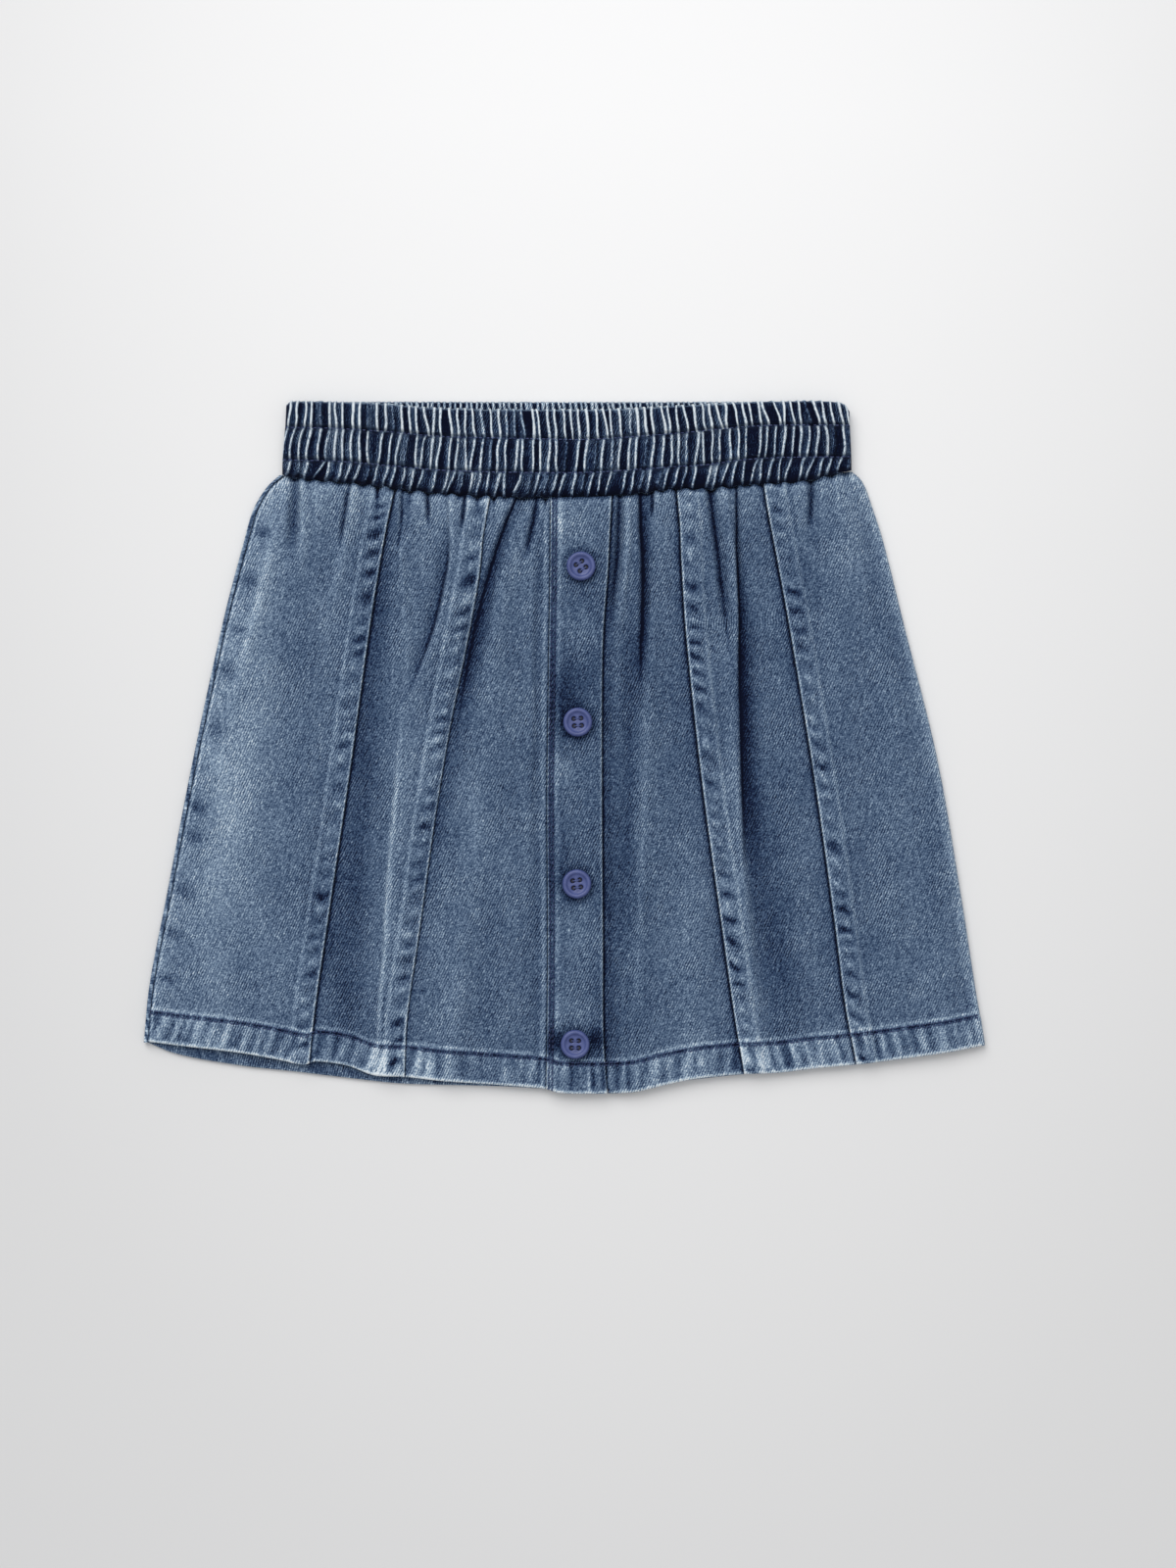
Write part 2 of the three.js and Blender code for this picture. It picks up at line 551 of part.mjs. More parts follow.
// How high a button sits: clear of the highest of the button band's outer face under it.
function placketSeat(button) {
  const waistY = through(waistSeam, button.x);
  const inHem = button.y - buttonRadius < through(frontHem, button.x) + hemDepth ? hemExtra : 0;
  let highest = 0;
  for (let turn = 0; turn < 12; turn += 1) {
    for (const share of [0, 0.5, 1]) {
      const angle = turn * Math.PI / 6;
      const x = button.x + share * buttonRadius * Math.cos(angle);
      const y = button.y + share * buttonRadius * Math.sin(angle);
      const place = clamp((waistY - y) / (waistY - through(frontHem, button.x)), 0, 1);
      highest = Math.max(highest, frontInside(x, place));
    }
  }
  return highest + cloth + placketExtra + inHem + seamGap;
}

// ---- the skirt -----------------------------------------------------------------------------
const denim = new THREE.MeshStandardMaterial({ color: 0x5d7594, roughness: 0.92, metalness: 0 });
const denimFolded = new THREE.MeshStandardMaterial({ color: 0x53698a, roughness: 0.92, metalness: 0 });
const plastic = new THREE.MeshStandardMaterial({ color: 0x616a9b, roughness: 0.45, metalness: 0 });

const skirt = new THREE.Group();
function add(name, geometry, material) {
  const mesh = new THREE.Mesh(geometry, material);
  mesh.name = name;
  skirt.add(mesh);
  return mesh;
}

// The back's grids face down outside and up inside, so they swap places.
const [backUpper, backLower] = backGrids();
add('back_panel', wallGeometry(backUpper, backLower), denim);
for (const panel of panels) add(panel.node, wallGeometry(...panelGrids(panel)), denim);
add('waistband_back', wallGeometry(...bandBackGrids()), denimFolded);
add('waistband_front', wallGeometry(...bandFrontGrids()), denimFolded);
buttons.forEach((button, index) => {
  const mesh = add(`button_${index + 1}`, buttonGeometry(), plastic);
  mesh.position.set(button.x, button.y, placketSeat(button));
  mesh.rotation.z = THREE.MathUtils.degToRad(button.turn);
});

export default skirt;
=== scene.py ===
"""A girl's denim skirt with a gathered elastic waistband, laid flat with its front on top.

Sizes in the tables are millimetres in the frame's axes: +X to the right of the front, +Y towards
the waist, +Z up. "Down" is the share of the way from the waist seam (0) to the hem's edge (1).
"""
import math

import bpy
import numpy as np
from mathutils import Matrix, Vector


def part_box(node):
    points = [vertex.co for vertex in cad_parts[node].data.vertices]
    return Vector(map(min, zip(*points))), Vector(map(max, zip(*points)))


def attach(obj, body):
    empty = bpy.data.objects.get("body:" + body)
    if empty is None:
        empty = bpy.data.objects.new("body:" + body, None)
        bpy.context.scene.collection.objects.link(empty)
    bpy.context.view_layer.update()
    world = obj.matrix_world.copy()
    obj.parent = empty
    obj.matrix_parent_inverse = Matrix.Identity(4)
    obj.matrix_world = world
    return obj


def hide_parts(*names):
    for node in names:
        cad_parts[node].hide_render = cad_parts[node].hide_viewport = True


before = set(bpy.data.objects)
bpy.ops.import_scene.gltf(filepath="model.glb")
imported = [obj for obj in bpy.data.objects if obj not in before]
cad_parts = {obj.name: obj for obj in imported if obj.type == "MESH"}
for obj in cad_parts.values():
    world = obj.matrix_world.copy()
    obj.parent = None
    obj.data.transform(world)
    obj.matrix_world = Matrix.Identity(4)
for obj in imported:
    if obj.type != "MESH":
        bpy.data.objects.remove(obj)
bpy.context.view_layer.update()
MM = 0.001
scene = bpy.context.scene

# ---- camera --------------------------------------------------------------------------------
# Straight above, a little to the right of the skirt's middle and below it.
VIEW_CENTRE = (10.1, -15.8)     # where the camera looks, in millimetres
VIEW_HEIGHT = 672.0             # what the long side of the picture covers
VIEW_LEVEL = 5.0                # at this height over the floor
LENS = 85.0
SENSOR = 36.0


def make_camera():
    """A camera that looks straight down."""
    data = bpy.data.cameras.new("camera_above")
    data.lens = LENS
    data.sensor_width = SENSOR
    data.sensor_fit = "AUTO"
    camera = bpy.data.objects.new("camera_above", data)
    distance = VIEW_HEIGHT * LENS / SENSOR + VIEW_LEVEL
    camera.location = (VIEW_CENTRE[0] * MM, VIEW_CENTRE[1] * MM, distance * MM)
    scene.collection.objects.link(camera)
    scene.camera = camera


# ---- sizes shared with the solids ----------------------------------------------------------
CLOTH = 1.2                     # from the inside of the front layer to its face
SHELL = 0.8                     # the denim itself
SEAM_GAP = 0.3
LOWEST_FRONT = 1.55
EDGE_RISE = 2.1
EDGE_RADIUS = 1.65
EDGE_SOFT = 13.0
SIDE_SEAM_INSET = 2.0
UNDER_TURN = 5.0
HEM_DEPTH = 13.4
HEM_EXTRA = 0.9
BACK_HEM_EXTRA = 0.8
SEAM_BAND_WIDTH = 9.0
SEAM_BAND_EXTRA = 0.7
PLACKET_EXTRA = 0.9
BAND_CORE = 3.3
BAND_BACK_HEIGHT = 3.0
BAND_LEFT = -120.5
BAND_RIGHT = 122.5

DOWN_STATIONS = [0, 0.02, 0.06, 0.12, 0.25, 0.5, 0.75, 0.9, 1]
SEAM_LINES = {
    "left_edge": [-122.5, -127.7, -133.6, -137.9, -146.2, -159.5, -171.3, -178.3, -180.7],
    "seam_outer_left": [-72.8, -73.7, -75.8, -78.5, -83.6, -92.1, -101.2, -106.6, -109.2],
    "seam_inner_left": [-31.7, -32.6, -34.4, -36.3, -42.5, -53.3, -62.0, -67.2, -68.3],
    "placket_left": [-6.1, -6.1, -6.2, -6.3, -6.8, -7.6, -7.3, -7.6, -8.0],
    "placket_right": [20.4, 20.2, 19.6, 18.9, 16.6, 16.3, 16.7, 16.9, 18.5],
    "seam_inner_right": [48.1, 48.4, 49.3, 49.9, 52.0, 58.8, 67.4, 72.7, 76.9],
    "seam_outer_right": [85.3, 85.9, 87.6, 90.5, 96.4, 106.7, 115.5, 120.3, 125.0],
    "right_edge": [123.5, 128.1, 131.9, 136.7, 144.7, 160.0, 170.7, 176.4, 180.4],
}
WAIST_SEAM = [
    (-122, 117.0), (-111, 114.9), (-92, 113.2), (-68.5, 110.3), (-52, 108.6), (-32, 107.3),
    (10, 107.5), (30, 108.6), (46, 110.5), (62, 110.9), (83, 112.8), (100, 113.8), (110, 115.6),
    (122, 118.7),
]
BACK_WAIST_SEAM = [
    (-122, 117.0), (-90, 113.9), (-60, 110.8), (-30, 108.8), (0, 108.3), (30, 109.6),
    (60, 111.8), (90, 114.6), (108, 116.9), (122, 118.7),
]
FRONT_HEM = [
    (-180, -126.2), (-166, -127.9), (-138, -131.3), (-120, -134.6), (-112, -136.2),
    (-106.5, -134.8), (-93, -136.7), (-82, -140.6), (-69, -141.3), (-54, -143.0), (-25, -145.1),
    (-8, -146.6), (-2, -148.2), (17, -148.5), (30, -147.9), (43, -144.9), (55, -142.4),
    (75, -140.3), (92, -139.6), (107, -137.8), (124, -136.2), (139, -134.4), (165, -130.8),
    (180, -127.9),
]
BACK_HEM = [
    (-180, -126.2), (-166, -131.7), (-138, -136.7), (-115, -139.2), (-93, -141.8), (-70, -144.3),
    (-54, -144.9), (-25, -145.6), (0, -147.0), (17, -147.4), (43, -144.6), (75, -141.0),
    (107, -138.2), (139, -135.3), (165, -131.2), (180, -127.9),
]
BAND_UPPER = [
    (-121, 148.3), (-118, 148.7), (-86, 148.1), (-73, 147.2), (-61, 146.0), (-47, 145.5),
    (-20, 145.1), (10, 145.1), (26, 145.5), (42, 146.4), (58, 147.2), (74, 148.1), (90, 148.7),
    (114, 148.7), (122, 147.4),
]
BAND_STITCH_ONE = [
    (-121, 137.1), (-99, 136.7), (-73, 135.0), (-61, 133.8), (-47, 132.9), (-20, 132.4),
    (10, 131.9), (26, 132.9), (44, 134.2), (58, 135.5), (74, 137.1), (90, 138.0), (122, 138.0),
]
BAND_STITCH_TWO = [
    (-121, 123.3), (-95, 122.4), (-73, 120.5), (-52, 118.7), (-20, 117.8), (10, 117.8),
    (26, 118.7), (46, 120.1), (62, 121.2), (74, 122.9), (90, 124.1), (122, 124.5),
]
BAND_BACK_UPPER = [(-121, 148.2), (-80, 148.6), (0, 148.5), (80, 148.6), (122, 148.2)]

# Height of the front layer's inside over the floor, away from its side edges.
RESTING_HEIGHT = [(0, 3.9), (0.15, 3.7), (0.4, 3.3), (0.75, 3.0), (1, 3.0)]

# A row for each fold: where it starts and ends down the skirt, where its line runs at the
# start, half-way and end, its height (a valley is negative), its reach to the left and right
# of its line, how far its crest leans over to the right, and how pale its crest has worn. A
# negative paleness darkens a crease: its kept dye, and painted shade.
FOLDS = [
    dict(zip(("start", "end", "x0", "x1", "x2", "height", "left", "right", "lean", "pale"), row))
    for row in [
        # left gather, hip and swell
        (0.00, 0.15, -115.2, -116.4, -117.6, -2.4, 2.2, 2.2, 0.0, -0.9),
        (0.00, 0.21, -111.5, -112.5, -115.1, 1.1, 2.2, 2.6, 0.0, 0.5),
        (0.03, 0.48, -122.5, -133.6, -149.0, 1.2, 2.6, 3.2, 0.0, 0.8),
        (0.05, 1.20, -124.0, -143.0, -160.0, 0.9, 13, 12, 0.0, 0.56),
        # crease, ridge and dark hollow by the outer left seam
        (0.00, 0.13, -92.2, -94.6, -96.6, -2.0, 1.1, 1.4, 0.0, -0.7),
        (0.00, 0.28, -90.6, -96.0, -103.0, 1.1, 2.2, 2.8, 0.0, 0.6),
        (0.00, 0.10, -103.3, -104.3, -105.4, 0.8, 3.4, 3.4, 0.0, 0.2),
        (0.40, 1.50, -98.0, -111.0, -124.0, -0.2, 5, 5, 0.0, -0.28),
        (0.00, 0.13, -69.2, -70.4, -72.5, -1.8, 1.3, 2.0, 0.0, -0.55),
        (-0.30, 1.60, -72.0, -88.0, -105.5, -0.9, 8.5, 6.5, 0.0, -0.5),
        (0.30, 1.60, -82.0, -96.0, -109.0, -0.3, 11, 10, 0.0, -0.14),
        # first roll, between the left seams
        (0.00, 0.40, -49.5, -53.0, -75.0, 2.0, 1.5, 9, 0.3, 0.16),
        (0.28, 1.25, -67.6, -77.0, -85.0, 1.6, 1.0, 11, 0.2, 0.42),
        (0.00, 0.06, -58.4, -58.4, -58.8, -1.8, 0.9, 0.9, 0.0, -0.7),
        (0.00, 0.07, -43.0, -43.4, -44.1, -1.8, 0.9, 0.9, 0.0, -0.7),
        (0.03, 0.42, -50.2, -56.2, -77.5, -1.3, 3.6, 1.4, 0.0, -0.66),
        (0.00, 0.38, -71.0, -69.0, -63.5, 0.9, 1.7, 1.8, 0.0, 0.36),
        # deep valley right of the inner left seam, and the roll beyond it
        (0.00, 0.42, -21.5, -38.0, -46.5, -3.3, 1.6, 5.6, 1.1, -1.3),
        (0.08, 0.74, -34.0, -49.5, -61.5, -1.6, 2.5, 7.0, 0.3, -0.62),
        (0.55, 0.98, -60.5, -64.5, -67.0, -0.5, 6, 6, 0.0, -0.35),
        (0.00, 0.40, -19.6, -28.7, -30.2, 1.4, 4.2, 4.0, 0.0, 0.22),
        (0.32, 1.40, -30.4, -46.0, -65.0, 1.3, 4.5, 6.0, 0.0, 0.32),
        (0.00, 0.12, -12.0, -14.5, -18.5, -2.0, 1.2, 1.8, 0.0, -0.8),
        (0.03, 0.75, -13.6, -14.3, -14.6, 0.8, 3.0, 1.8, 0.0, 0.12),
        (0.00, 1.70, -9.6, -11.0, -12.0, -1.0, 3.4, 2.6, 0.0, -0.26),
        # button band's right side
        (0.00, 0.24, 23.4, 21.9, 18.8, -2.3, 1.4, 1.5, 0.0, -0.6),
        (0.02, 1.50, 18.6, 19.6, 20.6, -1.2, 2.6, 3.4, 0.0, -0.45),
        (0.00, 0.26, 27.2, 26.0, 21.6, 1.2, 2.0, 1.6, 0.2, 0.25),
        (0.00, 0.36, 32.2, 33.0, 32.2, -2.9, 1.3, 3.0, 0.7, -1.5),
        (0.10, 0.95, 30.5, 27.2, 24.5, -1.5, 4.5, 4.2, 0.0, -0.58),
        (0.08, 0.95, 38.6, 34.0, 31.5, 1.1, 0.9, 4, 0.0, 0.10),
        (0.50, 0.92, 33.6, 32.0, 31.8, 0.6, 1.4, 2.0, 0.0, 0.12),
        (0.00, 0.05, 37.4, 37.4, 37.0, -1.6, 0.9, 0.9, 0.0, -0.7),
        (0.00, 0.18, 41.6, 42.3, 43.7, 0.8, 2.6, 2.6, 0.0, 0.25),
        # fourth roll, between the right seams, with the deepest drop
        (0.00, 0.31, 62.2, 66.8, 71.5, -1.9, 1.5, 2.2, 0.0, -0.7),
        (0.00, 0.39, 69.3, 72.6, 73.6, 1.5, 3.0, 1.5, 0.4, 0.15),
        (0.00, 0.34, 73.0, 74.0, 75.0, -2.2, 0.7, 1.6, 0.5, -0.75),
        (0.06, 0.72, 73.8, 75.2, 77.9, -3.0, 0.8, 4.2, 0.8, -1.35),
        (0.15, 0.92, 75.5, 78.0, 87.0, -1.6, 2.0, 6.5, 0.0, -0.75),
        (0.36, 1.30, 81.0, 92.0, 104.0, -0.6, 7, 10, 0.0, -0.42),
        (0.34, 1.10, 72.2, 77.5, 91.5, 1.3, 4.8, 2.8, 0.0, 0.62),
        (0.00, 0.09, 105.8, 105.7, 104.6, -1.9, 1.2, 1.3, 0.0, -0.7),
        (0.00, 0.14, 99.1, 100.7, 103.3, 0.9, 3.0, 3.0, 0.0, 0.3),
        (0.00, 0.14, 115.1, 120.5, 125.6, 0.6, 5.0, 5.0, 0.0, 0.15),
        (0.00, 0.24, 117.0, 122.0, 126.0, 0.2, 10, 9, 0.0, 0.42),
        (0.20, 1.60, 134.0, 158.0, 178.0, 0.1, 13, 14, 0.0, 0.18),
        (0.00, 0.30, -122.0, -127.0, -133.0, 0.1, 12, 11, 0.0, 0.4),
        (0.50, 1.60, 50.0, 57.0, 64.0, 0.1, 11, 10, 0.0, 0.42),
        (0.35, 0.95, -140.0, -150.0, -158.0, 0.1, 10, 9, 0.0, 0.42),
    ]
]

FOLD_FADE_IN = 0.3              # share of a fold's length over which it rises
FOLD_FADE_OUT = 0.5             # and over which it runs out
FOLD_WAVER = 0.35               # how far its line wanders
FOLD_WAVES = 18                 # how often, down the skirt
SHARP_REACH = 1.7               # a fold that reaches less far than this has a sharp line
CREASE_LINE = 0.6               # width of the dark line, kept dye and painted shade, in a sharp crease
RIDGE_LINE = 1.1                # and of the pale one on a sharp ridge
CREASE_DYE_AND_SHADE = 1.05              # how much darker a crease is painted, with its kept dye and painted shade, for its paleness in the table
CREST_WORN = 0.8                # and how much paler a crest

# ---- helpers -------------------------------------------------------------------------------


def through(pairs, place):
    """A smooth line through (place, value) pairs."""
    pairs = np.asarray(pairs, float)
    xs, ys = pairs[:, 0], pairs[:, 1]
    place = np.clip(np.asarray(place, float), xs[0], xs[-1])
    slopes = np.empty_like(ys)
    slopes[1:-1] = (ys[2:] - ys[:-2]) / (xs[2:] - xs[:-2])
    slopes[0] = (ys[1] - ys[0]) / (xs[1] - xs[0])
    slopes[-1] = (ys[-1] - ys[-2]) / (xs[-1] - xs[-2])
    i = np.clip(np.searchsorted(xs, place, side="right") - 1, 0, len(xs) - 2)
    width = xs[i + 1] - xs[i]
    s = (place - xs[i]) / width
    rise = ys[i + 1] - ys[i]
    a = slopes[i] * width
    b = slopes[i + 1] * width
    return ys[i] + s * a + s * s * (3 * rise - 2 * a - b) + s ** 3 * (a + b - 2 * rise)


def smooth(low, high, value):
    """0 below low, 1 above high, and a smooth rise between them."""
    share = np.clip((np.asarray(value, float) - low) / (high - low), 0, 1)
    return share * share * (3 - 2 * share)


def mix(a, b, share):
    return a + (b - a) * share


def hump(value, reach):
    """1 at zero, and almost 0 from twice the reach on."""
    return np.exp(-(value / reach) ** 2)


def worn_and_shaded_lines(distance, rows):
    """Worn, dark and painted-shadow lines along an edge. A row is a line's distance from the edge, its
    reach and how much it adds."""
    return sum(amount * hump(distance - place, reach) for place, reach, amount in rows)


def rounded(distance, radius):
    """1 at an edge, and 0 from a radius inwards."""
    return np.clip(1 - distance / radius, 0, 1) ** 2


class Wander:
    """Smooth random values over a plane, the same in each run."""

    def __init__(self, seed):
        self.table = np.random.default_rng(seed).uniform(-1, 1, (64, 64))

    def __call__(self, x, y):
        x, y = np.broadcast_arrays(np.asarray(x, float), np.asarray(y, float))
        xi, yi = np.floor(x).astype(int), np.floor(y).astype(int)
        fx, fy = x - xi, y - yi
        fx = fx * fx * (3 - 2 * fx)
        fy = fy * fy * (3 - 2 * fy)
        t = self.table
        a, b = t[yi % 64, xi % 64], t[yi % 64, (xi + 1) % 64]
        c, d = t[(yi + 1) % 64, xi % 64], t[(yi + 1) % 64, (xi + 1) % 64]
        return mix(mix(a, b, fx), mix(c, d, fx), fy)


def seam_x(name, down):
    """Where a seam or an edge runs."""
    return through(list(zip(DOWN_STATIONS, SEAM_LINES[name])), down)


def points_at(x, y, z):
    """Points from their coordinates, any of which may be one number for all."""
    return np.stack(np.broadcast_arrays(x, y, z), -1)


def spaced(start, end, step):
    """Numbers from start to end, about a step apart."""
    count = max(2, int(round(abs(end - start) / step)) + 1)
    return np.linspace(start, end, count)


# ---- meshes --------------------------------------------------------------------------------


def grid_faces(ids, up):
    """Quads between the points of a grid, facing up or down."""
    a, b = ids[:-1, :-1], ids[1:, :-1]
    c, d = ids[1:, 1:], ids[:-1, 1:]
    quads = np.stack([a, b, c, d] if up else [a, d, c, b], axis=-1)
    return quads.reshape(-1, 4)


def border(ids):
    """The four sides of a grid, one after another round it."""
    return [ids[0], ids[:, -1], ids[-1][::-1], ids[:, 0][::-1]]


def bridge(outer, inner):
    """Triangles between two border lines that may have different numbers of points."""
    faces = []
    i = j = 0
    while i < len(outer) - 1 or j < len(inner) - 1:
        take_outer = i < len(outer) - 1 and (
            j == len(inner) - 1 or (i + 1) * (len(inner) - 1) <= (j + 1) * (len(outer) - 1))
        if take_outer:
            faces.append((outer[i], outer[i + 1], inner[j]))
            i += 1
        else:
            faces.append((outer[i], inner[j + 1], inner[j]))
            j += 1
    return faces


def mesh_object(name, points, faces, material, attributes=()):
    """points in millimetres. attributes are (name, kind, values) for each point."""
    mesh = bpy.data.meshes.new(name)
    mesh.from_pydata([], [], [])
    mesh.vertices.add(len(points))
    mesh.vertices.foreach_set("co", (np.asarray(points, float) * MM).astype(np.float32).ravel())
    sizes = np.array([len(f) for f in faces], dtype=np.int32)
    corners = np.concatenate([np.asarray(f, dtype=np.int32) for f in faces]) if len(faces) else []
    mesh.loops.add(int(sizes.sum()))
    mesh.loops.foreach_set("vertex_index", np.asarray(corners, dtype=np.int32))
    mesh.polygons.add(len(sizes))
    starts = np.concatenate([[0], np.cumsum(sizes)[:-1]]).astype(np.int32)
    mesh.polygons.foreach_set("loop_start", starts)
    mesh.polygons.foreach_set("use_smooth", np.ones(len(sizes), dtype=bool))
    mesh.update(calc_edges=True)
    mesh.validate()
    for label, kind, values in attributes:
        layer = mesh.attributes.new(label, kind, "POINT")
        key = "value" if kind == "FLOAT" else "vector"
        layer.data.foreach_set(key, np.asarray(values, np.float32).ravel())
    thing = bpy.data.objects.new(name, mesh)
    scene.collection.objects.link(thing)
    mesh.materials.append(material)
    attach(thing, "root")
    return thing


def face_normals(points):
    """Which way a grid of points faces at each point."""
    along = np.gradient(points, axis=1)
    down = np.gradient(points, axis=0)
    normal = np.cross(down, along)
    return normal / np.maximum(np.linalg.norm(normal, axis=-1, keepdims=True), 1e-9)


INSIDE_WEAR = 0.25              # the cloth's wrong side is a little paler


def cloth_piece(node, outer, inner, wear_and_shade, twill, material, inner_wear=None):
    """A closed wall of cloth between two grids of points, in place of one of the CAD's nodes."""
    outer_count = outer.shape[0] * outer.shape[1]
    outer_ids = np.arange(outer_count).reshape(outer.shape[:2])
    inner_ids = outer_count + np.arange(inner.shape[0] * inner.shape[1]).reshape(inner.shape[:2])
    faces = list(grid_faces(outer_ids, True)) + list(grid_faces(inner_ids, False))
    for a, b in zip(border(outer_ids), border(inner_ids)):
        faces += bridge(list(a), list(b))
    points = np.concatenate([outer.reshape(-1, 3), inner.reshape(-1, 3)])
    if inner_wear is None:
        inner_wear = np.full(len(points) - outer_count, INSIDE_WEAR)
    wear_and_shade_all = np.concatenate([wear_and_shade.ravel(), inner_wear.ravel()])
    weave = weave_place(outer, twill)
    inner_weave = weave if inner.shape == outer.shape else inner
    weave_all = np.concatenate([weave.reshape(-1, 3), inner_weave.reshape(-1, 3)])
    piece = mesh_object("cloth_" + node, points, faces, material,
                        [("wear_and_shade", "FLOAT", wear_and_shade_all), ("weave", "FLOAT_VECTOR", weave_all)])
    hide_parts(node)
    return piece


def weave_place(outer, angle):
    """Place on the cloth: along the twill's lines, across them, and lengthways."""
    steps = np.diff(outer, axis=1)
    length = np.sqrt(steps[..., 0] ** 2 + steps[..., 2] ** 2)
    across = np.concatenate([np.zeros((outer.shape[0], 1)), np.cumsum(length, axis=1)], axis=1)
    middle = outer.shape[1] // 2
    across = across - across[:, middle:middle + 1] + outer[:, middle:middle + 1, 0]
    lengthways = outer[..., 1]
    turn = math.radians(angle)
    along = across * math.cos(turn) + lengthways * math.sin(turn)
    over = -across * math.sin(turn) + lengthways * math.cos(turn)
    return np.stack([along, over, lengthways], axis=-1)


# ---- the front layer's shape ---------------------------------------------------------------
pucker_noise = Wander(11)
pucker_fine = Wander(12)
crease_noise = Wander(13)
hem_noise = Wander(14)
patch_noise = Wander(15)


def fold_parts(x, down):
    """Height, lean and paleness that the folds give at a place; a crease's negative paleness is its
    kept dye and painted shade.
    """
    height = np.zeros(np.broadcast(x, down).shape)
    lean = np.zeros_like(height)
    pale = np.zeros_like(height)
    for f in FOLDS:
        length = f["end"] - f["start"]
        rise_end = f["start"] + FOLD_FADE_IN * length
        start = 1.0 if f["start"] == 0 else smooth(f["start"], rise_end, down)
        finish = 1 - smooth(f["end"] - FOLD_FADE_OUT * length, f["end"], down)
        s = np.clip((down - f["start"]) / length, 0, 1)
        bend = 2 * (f["x0"] + f["x2"] - 2 * f["x1"])
        line = f["x0"] + (f["x2"] - f["x0"] - bend) * s + bend * s * s
        line = line + FOLD_WAVER * crease_noise(down * FOLD_WAVES, f["x0"] * 0.37)
        offset = x - line
        reach = np.where(offset < 0, f["left"], f["right"])
        share = start * finish
        height += f["height"] * share * hump(offset, reach)
        # A sharp crease keeps its dark dye and gets a thin line of painted shade, and a sharp ridge
        # wears pale along a thin line.
        thin = CREASE_LINE if f["pale"] < 0 else RIDGE_LINE
        sharp = hump(offset, thin) if min(f["left"], f["right"]) < SHARP_REACH else 0.0
        pale += f["pale"] * share * (0.55 * hump(offset, reach) + 1.1 * sharp)
        if f["lean"]:
            lean += f["lean"] * share * hump(offset + 1.2 * f["left"], 1.6 * f["left"])
    return height, lean, pale


GATHER_PITCH = 7.2              # between the small gathers under the waistband
GATHER_WANDER = 2.6             # how unevenly they are spaced, as an angle


def gather_wave(x):
    """The gathers along the waist seam: crests near 1, slits near -1."""
    phase = 2 * math.pi * x / GATHER_PITCH + GATHER_WANDER * crease_noise(x / 11, 0.5)
    size = 0.62 + 0.38 * crease_noise(x / 8, 9.5)
    return size * np.sin(phase)


HEM_RISE = (0.90, 0.94)         # the front rises over the back's hem between these shares
REST_OVER = 1.5                 # the cloth feels the back from this height over it
REST_SOFT = 0.3                 # and comes to rest on it this softly


def front_inside(x, down, folds):
    """Height of the front layer's inside over the floor."""
    from_edge = np.minimum(x - seam_x("left_edge", down), seam_x("right_edge", down) - x)
    inward = smooth(0, EDGE_SOFT, from_edge - EDGE_RADIUS)
    height = mix(EDGE_RISE, through(RESTING_HEIGHT, down), inward) + inward * folds
    floor = LOWEST_FRONT + HEM_EXTRA * smooth(*HEM_RISE, down)
    over = height - floor
    resting = REST_SOFT * np.log1p(np.exp(np.clip(over, -30, REST_OVER) / REST_SOFT))
    return floor + np.where(over > REST_OVER, over, resting)


# Where the left edge puckers over its seam, and how long each pucker is.
EDGE_PUCKERS = [
    (93.4, 3.0), (72.5, 3.4), (52.0, 1.6), (34.7, 3.2), (9.5, 3.6), (-24.1, 2.8), (-36.8, 2.4),
    (-59.9, 3.0), (-78.8, 2.6), (-98.0, 1.8),
]
# A row for each front panel: its node, the lines at its left and right, the side that its seam
# allowance lies on, the twill's angle, the distance between its points, its tone, how far the
# streaks on its hem slant, and how much paler its hem is.
PANELS = [
    dict(zip(("node", "left", "right", "band", "angle", "fine", "tone", "slant", "hem_tone"), row))
    for row in [
        ("side_panel_left", "left_edge", "seam_outer_left", "right",
         66, 0.62, 0.03, 0.4, 0.0),
        ("middle_panel_left", "seam_outer_left", "seam_inner_left", "right",
         64, 0.5, -0.01, 0.25, 0.08),
        ("inner_panel_left", "seam_inner_left", "placket_left", None,
         65, 0.42, -0.03, 0.1, 0.0),
        ("button_placket", "placket_left", "placket_right", None,
         66, 0.45, -0.22, 0.0, 0.12),
        ("inner_panel_right", "placket_right", "seam_inner_right", None,
         66, 0.42, -0.10, 0.05, 0.0),
        ("middle_panel_right", "seam_inner_right", "seam_outer_right", "left",
         66, 0.45, -0.04, -0.3, 0.12),
        ("side_panel_right", "seam_outer_right", "right_edge", "left",
         67, 0.62, -0.06, -0.25, 0.0),
    ]
]

# A row for each button: the place of its middle, and how far it is turned, in degrees.
BUTTONS = [
    dict(zip(("x", "y", "turn"), row))
    for row in [(7.1, 77.5, 33), (5.7, 10.7, 4), (5.3, -58.6, 8), (4.6, -127.3, 0)]
]
BUTTON_RADIUS = 6.25
BUTTON_HEIGHT = 2.5
